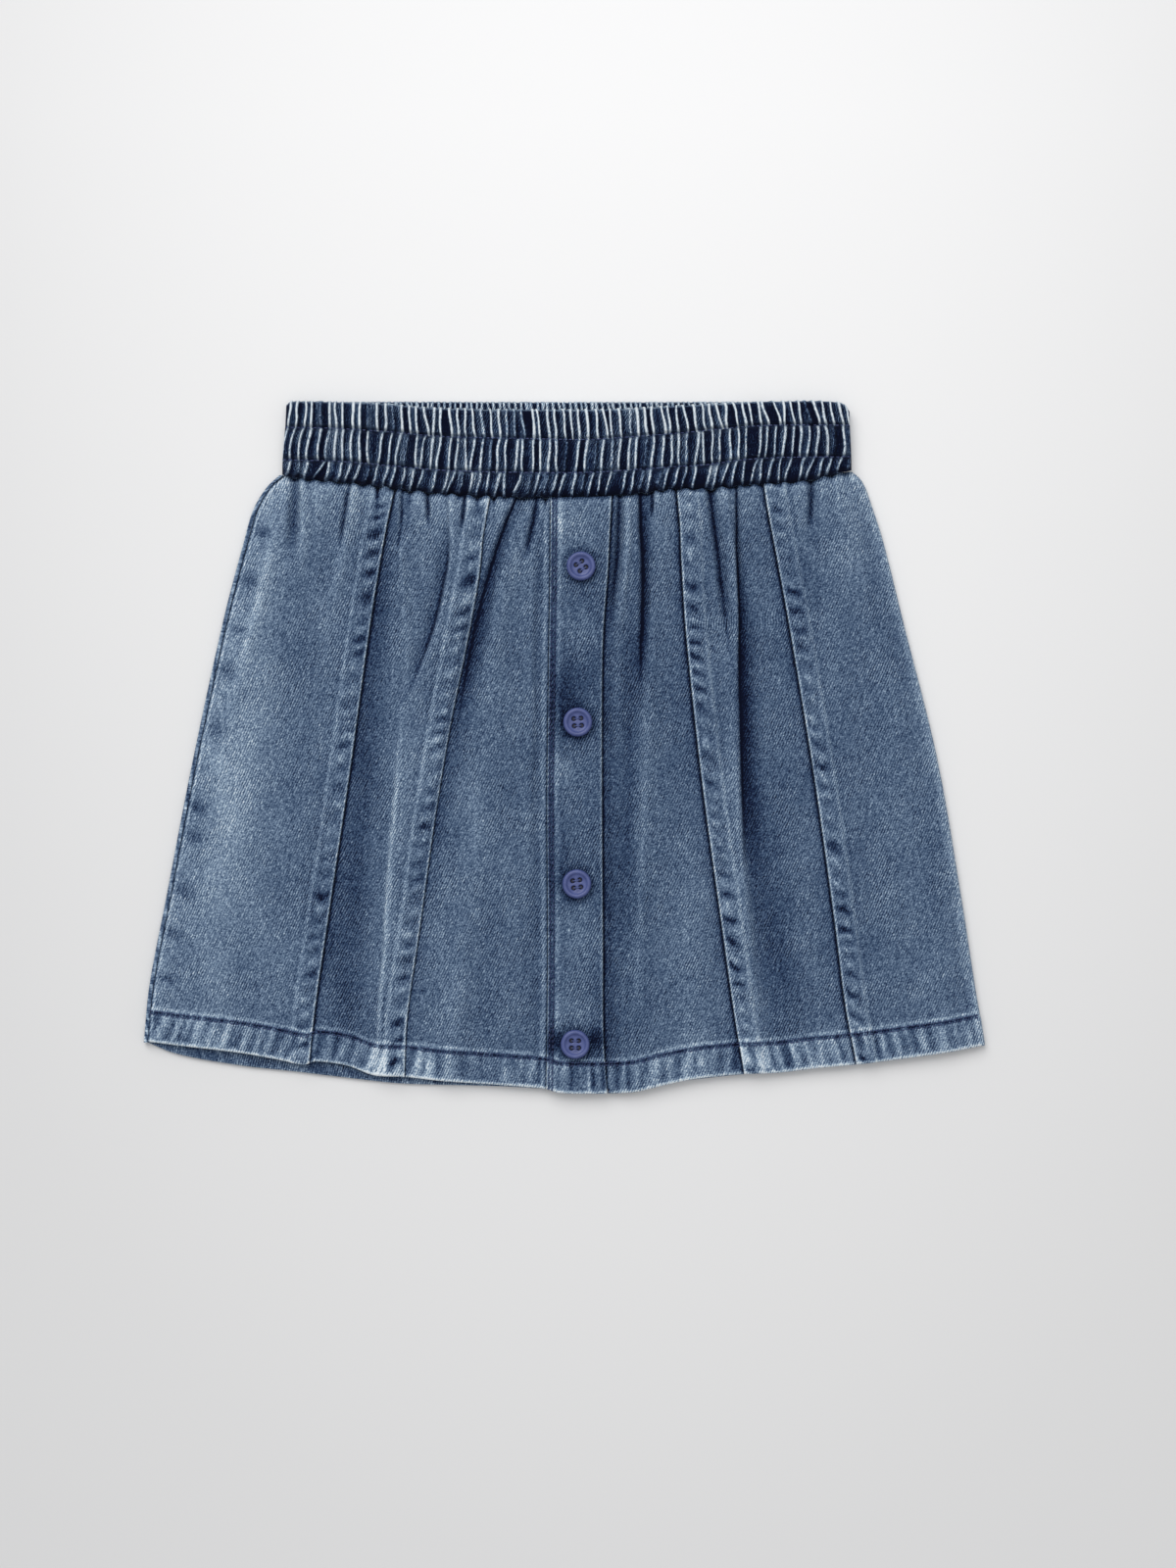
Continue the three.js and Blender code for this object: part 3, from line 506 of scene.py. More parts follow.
# Worn streaks over the hem: the place (along its slant), the width, and how much.
HEM_STREAKS = [
    (-45.0, 2.6, 0.75), (-50.5, 1.6, 0.35), (10.5, 0.8, 0.7), (-1.5, 1.2, 0.3), (32.5, 1.0, 0.45),
    (23.5, 0.8, 0.4), (43.0, 0.7, 0.45), (48.0, 0.6, 0.4), (52.5, 0.7, 0.35), (58.5, 0.7, 0.45),
    (65.0, 0.6, 0.35),
]
HEM_STREAK_LENGTH = 9.0
HEM_STREAK_MIDDLE = 4.0         # over the hem's edge
HEM_RIPPLE_PITCH = 6.4
HEM_RIPPLE_HEIGHT = 0.26
HEM_RIPPLE_WORN = 0.44
HEM_WORN = 0.12                 # the turned-up hem as a whole
RUNG_PITCH = 8.2                # between the seam allowances' puckers
RUNG_WANDER = 4.5               # how unevenly they are spaced, as an angle
RUNG_HEIGHT = 0.28
RUNG_WORN = 0.42                # the swellings between the rungs
RUNG_DARK = 0.9                 # and the rungs
SEAM_SCALLOP = 0.7              # how far the waist seam wanders with the gathers
SCALLOP_REACH = 3.0
GATHER_HEIGHT = 0.75
SLIT_DEPTH = 0.9                # of the slits between gathers
# painted shade in the slits between gathers
SLIT_PAINTED_SHADE = 1.35
WAIST_DIP = 1.5                 # how far the cloth dips into the waist seam
# painted shadow along the waist seam, under the waistband
WAIST_PAINTED_SHADOW = 0.8
LARGE_WRINKLE = 0.28
SMALL_WRINKLE = 0.10
LEFT_PUCKER_DEPTH = 0.25
LEFT_PUCKER_DARK = 0.48
BUTTON_DIP = 0.45               # how far a button presses the cloth down
BUTTON_SHADE = 0.42             # and how dark the painted shade on the cloth under and round it is

# Worn lines (+) and dark ones (-), each by its distance from an edge, its reach and its strength.
ALLOWANCE_LINES = [(0.45, 0.42, 0.75), (SEAM_BAND_WIDTH - 0.2, 0.9, 0.30),
                   (SEAM_BAND_WIDTH + 1.4, 1.0, -0.12)]
# The low side of a seam: a painted shadow in its groove.
LOW_SIDE_SHADOW_LINES = [(0.0, 0.75, -0.85), (0.0, 3.5, -0.18)]
BESIDE_PLACKET_LINES = [(1.6, 1.4, 0.38)]
LEFT_EDGE_LINES = [(0.0, 0.35, -0.4), (1.0, 0.5, 0.5), (3.0, 3.0, 0.15)]
RIGHT_EDGE_LINES = [(0.0, 2.2, 0.32)]
HEM_LINES = [(HEM_DEPTH - 0.7, 0.62, -0.9), (HEM_DEPTH + 1.1, 0.7, 0.5), (0.4, 0.8, 0.95)]
# Where the button band is darker or paler: the place, its width and length, and how much.
BUTTON_BAND_PATCHES = [
    (-2.5, 97, 5, 7, 0.3), (8, 92, 12, 16, 0.2), (-1, 20, 7, 15, -0.55), (10, 30, 6, 9, -0.16),
    (6, 52, 6, 9, 0.16), (1, -9, 7, 6, 0.2), (-3, -50, 7, 14, -0.22),
    (1, -62, 5, 10, -0.16), (6, -80, 9, 17, 0.26), (2, -112, 9, 7, 0.18), (12, -142, 8, 5, -0.2),
]
HEM_ROWS_APART = 1.2            # between the hem's two rows of stitches
PLACKET_ROWS = (1.1, 2.5)       # the button band's two rows, from its left edge
PLACKET_LEFT_LINES = [
    (PLACKET_ROWS[0], 0.5, -0.75), (PLACKET_ROWS[1], 0.5, -0.75), (sum(PLACKET_ROWS) / 2, 0.4, 0.25),
    (0.2, 0.5, 0.55), (PLACKET_ROWS[1] + 1.5, 1.3, 0.34),
]
PLACKET_RIGHT_LINES = [(0.35, 0.5, 0.6)]


class Panel:
    """One front panel: its edges at any share of the way down, and its face.

    Each add_ method takes the face's height and its wear and painted shade, and gives them back
    changed.
    """

    def __init__(self, number, row):
        self.number = number
        self.row = row
        self.folds_left = row["left"] == "left_edge"
        self.folds_right = row["right"] == "right_edge"
        self.waist = (float(self.left_at(0.0)), float(self.right_at(0.0)))
        self.hem = (float(self.left_at(1.0)), float(self.right_at(1.0)))

    def left_at(self, down):
        inset = SIDE_SEAM_INSET if self.folds_left else 0
        return seam_x(self.row["left"], down) + inset + SEAM_GAP / 2

    def right_at(self, down):
        return seam_x(self.row["right"], down) - (EDGE_RADIUS if self.folds_right else SEAM_GAP / 2)

    def face(self, x, down):
        """The panel's face at across-positions x: points, and wear with painted shade and light."""
        left, right = self.left_at(down), self.right_at(down)
        share = (x - left) / (right - left)
        waist_y = through(WAIST_SEAM, mix(*self.waist, share)) - SEAM_GAP / 2
        hem_y = through(FRONT_HEM, mix(*self.hem, share))
        length = waist_y - hem_y
        y = mix(waist_y, hem_y, down)
        from_waist = down * length
        from_hem = (1 - down) * length
        if self.row["node"] != "button_placket":
            y = y + SEAM_SCALLOP * gather_wave(x) * np.exp(-from_waist / SCALLOP_REACH)
        from_left = x - left
        from_right = right - x
        folds, lean, pale = fold_parts(x, down)
        z = front_inside(x, down, folds) + CLOTH
        # Creases are painted darker for their kept dye and for painted shade; crests are paler where
        # worn.
        wear_and_shade = np.where(pale < 0, CREASE_DYE_AND_SHADE, CREST_WORN) * pale + self.row["tone"]
        z, wear_and_shade = self.add_wrinkles(x, y, down, z, wear_and_shade)
        z, wear_and_shade = self.add_gathers(x, from_waist, z, wear_and_shade)
        z, wear_and_shade = self.add_seams(y, from_left, from_right, z, wear_and_shade)
        z, wear_and_shade = self.add_hem(x, y, from_hem, from_right, z, wear_and_shade)
        if self.row["node"] == "button_placket":
            z, wear_and_shade = self.add_button_band(x, y, from_left, from_right, z, wear_and_shade)
        return points_at(x + lean, y, z), wear_and_shade

    def add_wrinkles(self, x, y, down, z, wear_and_shade):
        """Broad wrinkles and patches of wash, calm near the seams."""
        calm = smooth(0, 6, np.minimum(x - self.left_at(down), self.right_at(down) - x) + 2)
        large = crease_noise(x / 17, y / 46)
        small = pucker_noise(x / 6.5, y / 17)
        z = z + calm * (LARGE_WRINKLE * large + SMALL_WRINKLE * small)
        patches = patch_noise(x / 19, y / 33) + 0.5 * patch_noise(x / 7 + 9, y / 11)
        return z, wear_and_shade + 0.05 * patches + 0.04 * large

    def add_gathers(self, x, from_waist, z, wear_and_shade):
        """Small gathers under the waistband, and the dip into its seam, with painted shade in the slits
        between gathers and a painted shadow along the seam.
        """
        wave = gather_wave(x)
        if self.row["node"] == "button_placket":
            wave = 0 * wave
        reach = 5.0 + 4.5 * crease_noise(x / 3.1, 4.5)
        fade = np.exp(-from_waist / reach)
        slit = smooth(0.62, 0.95, -wave)
        z = z + fade * (GATHER_HEIGHT * wave - SLIT_DEPTH * slit) - WAIST_DIP * hump(from_waist, 1.4)
        wear_and_shade = wear_and_shade + np.exp(-from_waist / 7.5) * (0.34 + 0.30 * wave)
        # Painted shade in the slits, and a painted shadow along the waist seam.
        wear_and_shade = wear_and_shade - SLIT_PAINTED_SHADE * slit * hump(from_waist, 1.2 * reach)
        return z, wear_and_shade - WAIST_PAINTED_SHADOW * hump(from_waist, 1.1)

    def add_seams(self, y, from_left, from_right, z, wear_and_shade):
        """The allowance under one side of each seam, its puckers and its worn edge, and a painted
        shadow in the groove beside the seam.
        """
        band = self.row["band"]
        if band:
            near = from_right if band == "right" else from_left
            inside = 1 - smooth(SEAM_BAND_WIDTH - 0.6, SEAM_BAND_WIDTH + 0.5, near)
            z = z + SEAM_BAND_EXTRA * inside - 0.55 * rounded(near, 0.8)
            puckers, spots = self.seam_puckers(near, y)
            strength = inside * smooth(0.5, 1.6, near)
            z = z + RUNG_HEIGHT * puckers * strength
            wear_and_shade = wear_and_shade + strength * (RUNG_WORN * smooth(0.0, 0.9, puckers) - RUNG_DARK * spots)
            wear_and_shade = wear_and_shade + worn_and_shaded_lines(near, ALLOWANCE_LINES)
            low = from_left if band == "right" else from_right
        else:
            low = np.minimum(from_left, from_right)
        beside_placket = self.row["right"] == "placket_left"
        if self.row["node"] != "button_placket" and not self.folds_left and not self.folds_right:
            soft = 0.35 if beside_placket else 1.0
            z = z - 0.5 * soft * hump(low, 0.9)
            # painted shadow in the groove on the seam's low side
            wear_and_shade = wear_and_shade + soft * worn_and_shaded_lines(low, LOW_SIDE_SHADOW_LINES)
        if beside_placket:
            wear_and_shade = wear_and_shade + worn_and_shaded_lines(from_right, BESIDE_PLACKET_LINES)
        if self.folds_left:
            z, wear_and_shade = self.add_left_edge(y, from_left, z, wear_and_shade)
        if self.folds_right:
            wear_and_shade = wear_and_shade + worn_and_shaded_lines(from_right, RIGHT_EDGE_LINES)
        return z, wear_and_shade

    def add_left_edge(self, y, from_left, z, wear_and_shade):
        """The side seam at the left edge, with a pucker here and there."""
        z = z - 0.2 * hump(from_left, 0.7)
        wear_and_shade = wear_and_shade + worn_and_shaded_lines(from_left, LEFT_EDGE_LINES)
        strip = hump(from_left - 4.5, 4.0)
        for pucker_y, size in EDGE_PUCKERS:
            pucker = hump(y - pucker_y + 0.3 * from_left, size) * strip
            z = z - LEFT_PUCKER_DEPTH * pucker
            wear_and_shade = wear_and_shade - LEFT_PUCKER_DARK * pucker
        return z, wear_and_shade + 0.1 * strip * pucker_noise(from_left / 3, y / 3)

    def seam_puckers(self, near, y):
        """Rungs across a seam's allowance, dark and short, with rounded swellings between them."""
        start = 13.0 * self.number
        ladder = 2 * math.pi * (y + 0.3 * near) / RUNG_PITCH + RUNG_WANDER * pucker_noise(start, y / 19)
        rungs = np.sin(ladder + 1.1 * pucker_noise(near / 4 + start, y / 5))
        small = pucker_fine(near / 1.8 + start, (y + 0.5 * near) / 1.9)
        reach = hump(near - 3.8 - 0.8 * pucker_noise(start + 5, y / 6), 2.9)
        uneven = 0.42 + 0.95 * pucker_noise(start + 9, y / 11)
        spots = smooth(0.3, 0.95, -rungs + 0.3 * small) * reach * np.clip(uneven, 0.12, 1)
        return (0.7 * rungs + 0.5 * small) * reach, spots

    def add_hem(self, x, y, from_hem, from_right, z, wear_and_shade):
        """The turned-up hem: its thickness, ripples, stitch line and worn edge."""
        inside = 1 - smooth(HEM_DEPTH - 0.7, HEM_DEPTH + 0.5, from_hem)
        flat_edge = smooth(0, 3, from_right) if self.folds_right else 1.0
        z = z + mix(0.3, 1.0, flat_edge) * HEM_EXTRA * inside
        slant = x - self.row["slant"] * y
        waves = np.sin(2 * math.pi * slant / HEM_RIPPLE_PITCH + 3.0 * hem_noise(slant / 12, 0.3))
        small = 0.6 * hem_noise(slant / 1.5, y / 16) + 0.5 * hem_noise(slant / 3.2, y / 9)
        ripple = inside * smooth(0.8, 3.0, from_hem) * (0.55 * waves + small)
        near_stitch = smooth(0, 6, HEM_DEPTH - from_hem)
        z = z + HEM_RIPPLE_HEIGHT * ripple * mix(1.2, 0.6, near_stitch)
        z = z - 0.45 * hump(from_hem - HEM_DEPTH + 0.7, 0.62) - 0.8 * rounded(from_hem, 0.9)
        wear_and_shade = wear_and_shade + inside * (HEM_WORN + self.row["hem_tone"]) + HEM_RIPPLE_WORN * ripple
        streaks = sum(amount * hump(slant - place, width) for place, width, amount in HEM_STREAKS)
        wear_and_shade = wear_and_shade + inside * streaks * hump(from_hem - HEM_STREAK_MIDDLE, HEM_STREAK_LENGTH)
        return z, wear_and_shade + worn_and_shaded_lines(from_hem, HEM_LINES)

    def add_button_band(self, x, y, from_left, from_right, z, wear_and_shade):
        """The button band: raised, stitched along its left, and pressed down by its buttons, with
        painted shade under and round them.
        """
        z = z + PLACKET_EXTRA - 0.55 * rounded(from_right, 0.8) - 0.45 * rounded(from_left, 0.7)
        z = z - 0.3 * sum(hump(from_left - place, 0.5) for place in PLACKET_ROWS)
        wear_and_shade = wear_and_shade + worn_and_shaded_lines(from_left, PLACKET_LEFT_LINES)
        wear_and_shade = wear_and_shade + worn_and_shaded_lines(from_right, PLACKET_RIGHT_LINES)
        for b in BUTTONS:
            across = (x - b["x"]) / (BUTTON_RADIUS + 1.6)
            along = (y - b["y"]) / (BUTTON_RADIUS + 2.2)
            around = np.hypot(across, along)
            z = z - BUTTON_DIP * np.exp(-around ** 4)
            # painted shade under and round the button
            wear_and_shade = wear_and_shade - BUTTON_SHADE * np.exp(-around ** 6)
        for patch_x, patch_y, width, length, tone in BUTTON_BAND_PATCHES:
            wear_and_shade = wear_and_shade + tone * hump(x - patch_x, width) * hump(y - patch_y, length)
        last = BUTTONS[-1]
        beside = hump(y - last["y"] - 1.5, 5.0) * hump(np.abs(x - last["x"]) - 9, 3.2)
        return z, wear_and_shade - 0.9 * beside


NEAR_SEAM = 10.4                # the fine columns beside a seam reach this far


def panel_columns(width_waist, step):
    """Columns keep their distance from the nearer seam, and spread out in the middle: distances
    from a seam, and shares of the width between them."""
    near = np.concatenate([np.array([0, 0.25, 0.5, 0.8, 1.15]), spaced(1.55, NEAR_SEAM, 0.55)])
    middle = spaced(0, 1, step / (width_waist - 2 * NEAR_SEAM))[1:-1]
    return near, middle


def panel_rows(length):
    """Rows as shares of the length, close together at the waist seam and over the hem."""
    top = np.array([0, 0.4, 0.8, 1.3, 1.9, 2.6, 3.4, 4.3])
    hem = np.concatenate([spaced(HEM_DEPTH + 2.6, 1.5, 0.6), [1.1, 0.75, 0.4, 0.15, 0]])
    middle = spaced(4.3, length - HEM_DEPTH - 2.6, 1.25)[1:-1]
    return np.concatenate([top / length, middle / length, 1 - hem / length])


TURN_COLUMNS = 15               # round a side edge
LOWEST_INSIDE = 0.9             # the shell's inside stays this far over the floor
PANEL_LENGTH = 250.0            # about, to space the rows


def turn_under(panel, outer, inner, wear_and_shade, down):
    """The right edge: down, round and a little way under the skirt."""
    centre = panel.right_at(down)
    y = outer[:, -1, 1]
    end_x = panel.waist[1] - UNDER_TURN
    end_y = mix(through(BACK_WAIST_SEAM, end_x) - SEAM_GAP / 2, y[-1], down)
    extra = outer[:, -1, 2] - (EDGE_RISE + CLOTH)
    middle = (EDGE_RISE + CLOTH) / 2
    reach = EDGE_RADIUS + 0.35 * np.clip(extra, 0, 2)
    columns = []
    for angle in np.radians(np.linspace(12, 180, TURN_COLUMNS)):
        across, over = math.sin(angle), math.cos(angle)
        fade = extra * (1 + over) / 2
        columns.append((points_at(centre + reach * across, y, middle + middle * over + fade),
                        points_at(centre + (EDGE_RADIUS - SHELL) * across, y,
                                  middle + (middle - SHELL) * over + fade),
                        np.full(len(y), 0.34 + 0.15 * across)))
    for step in (0.5, 1.0):
        x, under_y = centre - UNDER_TURN * step, mix(y, end_y, step)
        columns.append((points_at(x, under_y, 0), points_at(x, under_y, SHELL),
                        np.full(len(y), 0.1)))
    return [np.concatenate([before, np.stack(added, axis=1)], axis=1)
            for before, added in zip((outer, inner, wear_and_shade), zip(*columns))]


def make_panel(panel, material):
    """One front panel as a piece of cloth."""
    near, middle = panel_columns(panel.waist[1] - panel.waist[0], panel.row["fine"])
    down = panel_rows(PANEL_LENGTH)[:, None]
    left, right = panel.left_at(down), panel.right_at(down)
    inner_left, inner_right = left + near[-1], right - near[-1]
    x = np.concatenate([left + near[None], mix(inner_left, inner_right, middle[None]),
                        right - near[::-1][None]], axis=1)
    outer, wear_and_shade = panel.face(x, down)
    inner = outer - face_normals(outer) * SHELL
    inner[..., 2] = np.maximum(inner[..., 2], LOWEST_INSIDE)
    if panel.folds_right:
        inner[:, -1] = outer[:, -1] - np.array([0, 0, SHELL])
        outer, inner, wear_and_shade = turn_under(panel, outer, inner, wear_and_shade, down[:, 0])
    return cloth_piece(panel.row["node"], outer, inner, wear_and_shade, panel.row["angle"], material)


# ---- back panel ----------------------------------------------------------------------------
BACK_LENGTH = 255.0             # about, to space the rows
BACK_COLUMNS = 180
BACK_TWILL = 74                 # the angle of its twill
WRAP_COLUMNS = 16               # round the left edge


def wrap_left_edge(left, seam, edge_y):
    """The back's cloth round the left edge, as far as the side seam: both faces, and the wear."""
    middle = (EDGE_RISE + CLOTH) / 2
    inner = [points_at(seam, edge_y, EDGE_RISE)]
    outer = [points_at(seam, edge_y, EDGE_RISE + CLOTH)]
    wear_and_shade = [-0.1]
    for angle in np.radians(np.linspace(0, 180, WRAP_COLUMNS)):
        across, over = math.sin(angle), math.cos(angle)
        inner.append(points_at(left - (EDGE_RADIUS - CLOTH) * across, edge_y,
                               middle + (middle - CLOTH) * over))
        outer.append(points_at(left - EDGE_RADIUS * across, edge_y, middle + middle * over))
        wear_and_shade.append(0.1 + 0.2 * across)
    wear_and_shade = np.repeat(np.array(wear_and_shade)[None], len(edge_y), axis=0)
    return np.stack(inner, 1), np.stack(outer, 1), wear_and_shade


def make_back_panel(material):
    """The back, flat under the front, with its own hem and its left edge turned up."""
    down = panel_rows(BACK_LENGTH)[::2]
    if down[-1] < 1:
        down = np.append(down, 1.0)
    down = down[:, None]
    edge = seam_x("left_edge", down)
    left = edge + EDGE_RADIUS
    right = seam_x("right_edge", down) - EDGE_RADIUS - UNDER_TURN - SEAM_GAP
    share = np.linspace(0, 1, BACK_COLUMNS)[None]
    waist_ends = (SEAM_LINES["left_edge"][0] + SIDE_SEAM_INSET,
                  SEAM_LINES["right_edge"][0] - EDGE_RADIUS - UNDER_TURN)
    hem_ends = (SEAM_LINES["left_edge"][-1] + SIDE_SEAM_INSET,
                SEAM_LINES["right_edge"][-1] - EDGE_RADIUS)
    waist_y = through(BACK_WAIST_SEAM, mix(*waist_ends, share)) - SEAM_GAP / 2
    hem_y = through(BACK_HEM, mix(*hem_ends, share))
    x = mix(left, right, share)
    y = mix(waist_y, hem_y, down)
    from_hem = (1 - down) * (waist_y - hem_y)
    hem = 1 - smooth(HEM_DEPTH - 0.7, HEM_DEPTH + 0.5, from_hem)
    upper_z = CLOTH + BACK_HEM_EXTRA * hem * smooth(0, 3, x - left) - 0.5 * rounded(from_hem, 0.9)
    upper_z = upper_z + 0.12 * hem * hem_noise((x + 0.4 * y) / 2.4, y / 9)
    wear_and_shade = -0.1 * hem + 0.35 * hem * hem_noise((x + 0.5 * y) / 1.6, y / 9) + 0.5 * hump(from_hem, 0.5)
    # The face against the floor is the skirt's outside, and the upper one its inside.
    upper = points_at(x, y, upper_z)
    lower = points_at(x, y, 0)
    seam = edge[:, 0] + SIDE_SEAM_INSET - SEAM_GAP / 2
    wrap_inner, wrap_outer, wrap_wear = wrap_left_edge(left[:, 0], seam, y[:, 0])
    upper = np.concatenate([wrap_inner, upper[:, 1:]], axis=1)
    lower = np.concatenate([wrap_outer, lower[:, 1:]], axis=1)
    lower_wear = np.concatenate([wrap_wear, np.zeros_like(wear_and_shade[:, 1:])], axis=1)
    wear_and_shade = np.concatenate([wrap_wear, wear_and_shade[:, 1:]], axis=1)
    return cloth_piece("back_panel", upper, lower, wear_and_shade, BACK_TWILL, material, lower_wear)


# ---- waistband -----------------------------------------------------------------------------
# A row for each stitched channel: its upper and lower lines, how many gathers it has, how far
# their lower ends lie to the right of their upper ones at the left and right ends of the band,
# how much they wander, how high they stand, how pale they are, how far they bow, the seed of
# their random values, and where two neighbours run together.
CHANNELS = [
    dict(zip(("upper", "lower", "ribs", "lean_left", "lean_right", "wander", "height", "pale",
              "bow", "seed", "forks"), row))
    for row in [
        (BAND_UPPER, BAND_STITCH_ONE, 70, -0.2, 2.4, 0.20, 1.7, 1.05, 0.0, 21,
         [("lower", -56.4), ("upper", -12.0), ("lower", 18.6), ("lower", 43.6), ("lower", 69.4),
          ("upper", 82.0), ("lower", 93.7)]),
        (BAND_STITCH_ONE, BAND_STITCH_TWO, 67, -1.9, 1.1, 0.17, 1.8, 0.88, -0.5, 22,
         [("lower", -64.5), ("lower", -41.0), ("upper", -20.5), ("upper", 58.5), ("lower", 112.0)]),
        (BAND_STITCH_TWO, WAIST_SEAM, 61, -3.6, -1.4, 0.26, 1.6, 0.76, 0.5, 23,
         [("upper", -101.0), ("lower", -52.0), ("upper", -26.5), ("upper", 84.0)]),
    ]
]
BACK_INSET = 1.2                # the back run is a little shorter at each end
RIB_CLEARANCE = 0.76            # the least gap between gathers, as a share of their pitch
SOFT_RIB_SHARE = 0.11           # gathers that are rounder and less worn
BAND_TOP = 5.2                  # the casing's face between gathers
TOP_ROUND = 1.4
END_ROUND = 2.6
END_THICKNESS = 0.6             # what is left of the casing at its rounded ends
FORK_HALF = 0.9                 # half the distance between two gathers that run together
RIB_WIDTHS = (0.56, 0.74)
SOFT_RIB_WIDTHS = (0.8, 1.1)
RIB_PALES = (0.82, 1.0)
SOFT_RIB_PALES = (0.45, 0.65)
FRONT_STEP = 0.30               # between the front run's columns of points
CHANNEL_ROWS = 27
BACK_STEP = 0.5
UNDER_STEP = 3.0
BACK_RIBS = 104
BACK_RIB_SEED = 24
FRONT_TWILL = 67                # the angles of the two runs' twill
BACK_RUN_TWILL = 63
CHANNEL_DYE = -1.4              # the wear of the cloth between gathers, which keeps its dye
# painted light on the lit side of each gather
GATHER_SIDE_PAINTED_LIGHT = 0.95
GATHER_FOOT_WORN = 0.15
GATHER_CREST_WORN = 2.45


def channel_ribs(channel, above=None):
    """The gathers of one channel, most of which run on from those in the channel above, and the
    places of their lower ends before any run together."""
    rng = np.random.default_rng(channel["seed"])
    count = channel["ribs"]
    pitch = (BAND_RIGHT - BAND_LEFT) / count
    k = np.arange(count) + 0.5
    spread = pitch * channel["wander"]
    even = BAND_LEFT + pitch * k
    if above is None:
        upper = even + spread * rng.uniform(-1, 1, count)
    else:
        kept = np.round(np.linspace(0, len(above) - 1, count)).astype(int)
        upper = mix(above[kept], even, 0.2) + 0.3 * rng.uniform(-1, 1, count)
    share = k / count
    lean = mix(channel["lean_left"], channel["lean_right"], share)
    lower = mix(upper + lean, even + lean, 0.6) + spread * rng.uniform(-1, 1, count)
    upper = set_apart(upper, RIB_CLEARANCE * pitch)
    lower = set_apart(lower, RIB_CLEARANCE * pitch)
    followed = lower.copy()
    for end, place in channel["forks"]:
        line = upper if end == "upper" else lower
        after = int(np.clip(np.searchsorted(line, place), 1, count - 1))
        middle = (line[after - 1] + line[after]) / 2
        line[after - 1] = middle - FORK_HALF
        line[after] = middle + FORK_HALF
    soft = rng.random(count) < SOFT_RIB_SHARE
    width = np.where(soft, rng.uniform(*SOFT_RIB_WIDTHS, count), rng.uniform(*RIB_WIDTHS, count))
    pale = np.where(soft, rng.uniform(*SOFT_RIB_PALES, count), rng.uniform(*RIB_PALES, count))
    bow = channel["bow"] * (1 - 1.6 * share) + rng.uniform(-0.35, 0.35, count)
    curl = rng.uniform(-0.28, 0.28, count)
    taper = rng.uniform(-0.5, 0.5, count)
    return np.stack([upper, lower, width, pale, bow, curl, taper], -1), followed


def set_apart(places, least):
    """Rising places, pushed apart where two are nearer than the least clearance."""
    places = np.sort(places)
    for _ in range(12):
        short = np.clip(least - np.diff(places), 0, None) / 2
        places[:-1] -= short
        places[1:] += short
    return places


def band_ribs():
    """The gathers of each channel of the front run."""
    ribs = []
    above = None
    for channel in CHANNELS:
        rows, above = channel_ribs(channel, above)
        ribs.append(rows)
    return ribs


def band_relief(ribs, x, share):
    """How far the gathers stand up, how worn they are, and how much painted light lies on one side of
    each, at a place in a channel.
    """
    height = np.zeros(np.broadcast(x, share).shape)
    lit_side = np.zeros_like(height)
    worn = np.zeros_like(height)
    for number, rib in enumerate(ribs):
        upper, lower, width, pale, bow, curl, taper = rib
        width = width * (1 + taper * (share - 0.5))
        line = mix(upper, lower, share) + bow * np.sin(math.pi * share)
        line = line + curl * np.sin(2 * math.pi * share)
        across = np.exp(-(np.abs(x - line) / width) ** 2.6)
        height = np.maximum(height, mix(0.7, 1.0, pale) * across)
        worn = np.maximum(worn, pale * across)
        # Painted light: most gathers are painted paler on their left side, every fifth on its right.
        side = -1 if number % 5 else 1
        shown = 0.3 + 0.7 * abs(math.sin(2.3 * number + 10 * upper))
        lit_side = np.maximum(lit_side, shown * hump(x - line - side * (width + 0.5), 1.1))
    return height, worn, lit_side


def band_corner(x):
    """How far the casing's upper edge drops at its rounded ends."""
    left = np.clip(1 - (x - BAND_LEFT) / 3.0, 0, 1)
    right = np.clip(1 - (BAND_RIGHT - x) / 4.5, 0, 1)
    return 1.3 * left ** 2 + 3.0 * right ** 2.5


def band_lean(x, y):
    """How far the casing's ends lean inwards towards its upper edge."""
    near_left = 1 - smooth(0, 26, x - BAND_LEFT)
    near_right = 1 - smooth(0, 26, BAND_RIGHT - x)
    rise = smooth(119, 147, y)
    return (1.7 * rise - 0.5) * near_left - (0.9 * rise - 0.6) * near_right


def on_band(x, y, z):
    """Points on the casing, which leans at its ends."""
    return points_at(x + band_lean(x, y), y, z)


def band_ends(x, left, right):
    """How thick the casing is near its rounded ends, as a share."""
    inside = np.clip(np.minimum(x - left, right - x) / END_ROUND, 0, 1)
    return np.sqrt(1 - (1 - inside) ** 2)


def channel_rows(index):
    """Shares of the way down a channel, without a second row where two channels meet."""
    shares = np.linspace(0, 1, CHANNEL_ROWS)
    if index == 0:
        return np.concatenate([[0, 0.012, 0.03, 0.055], shares[2:]])
    return shares[1:]


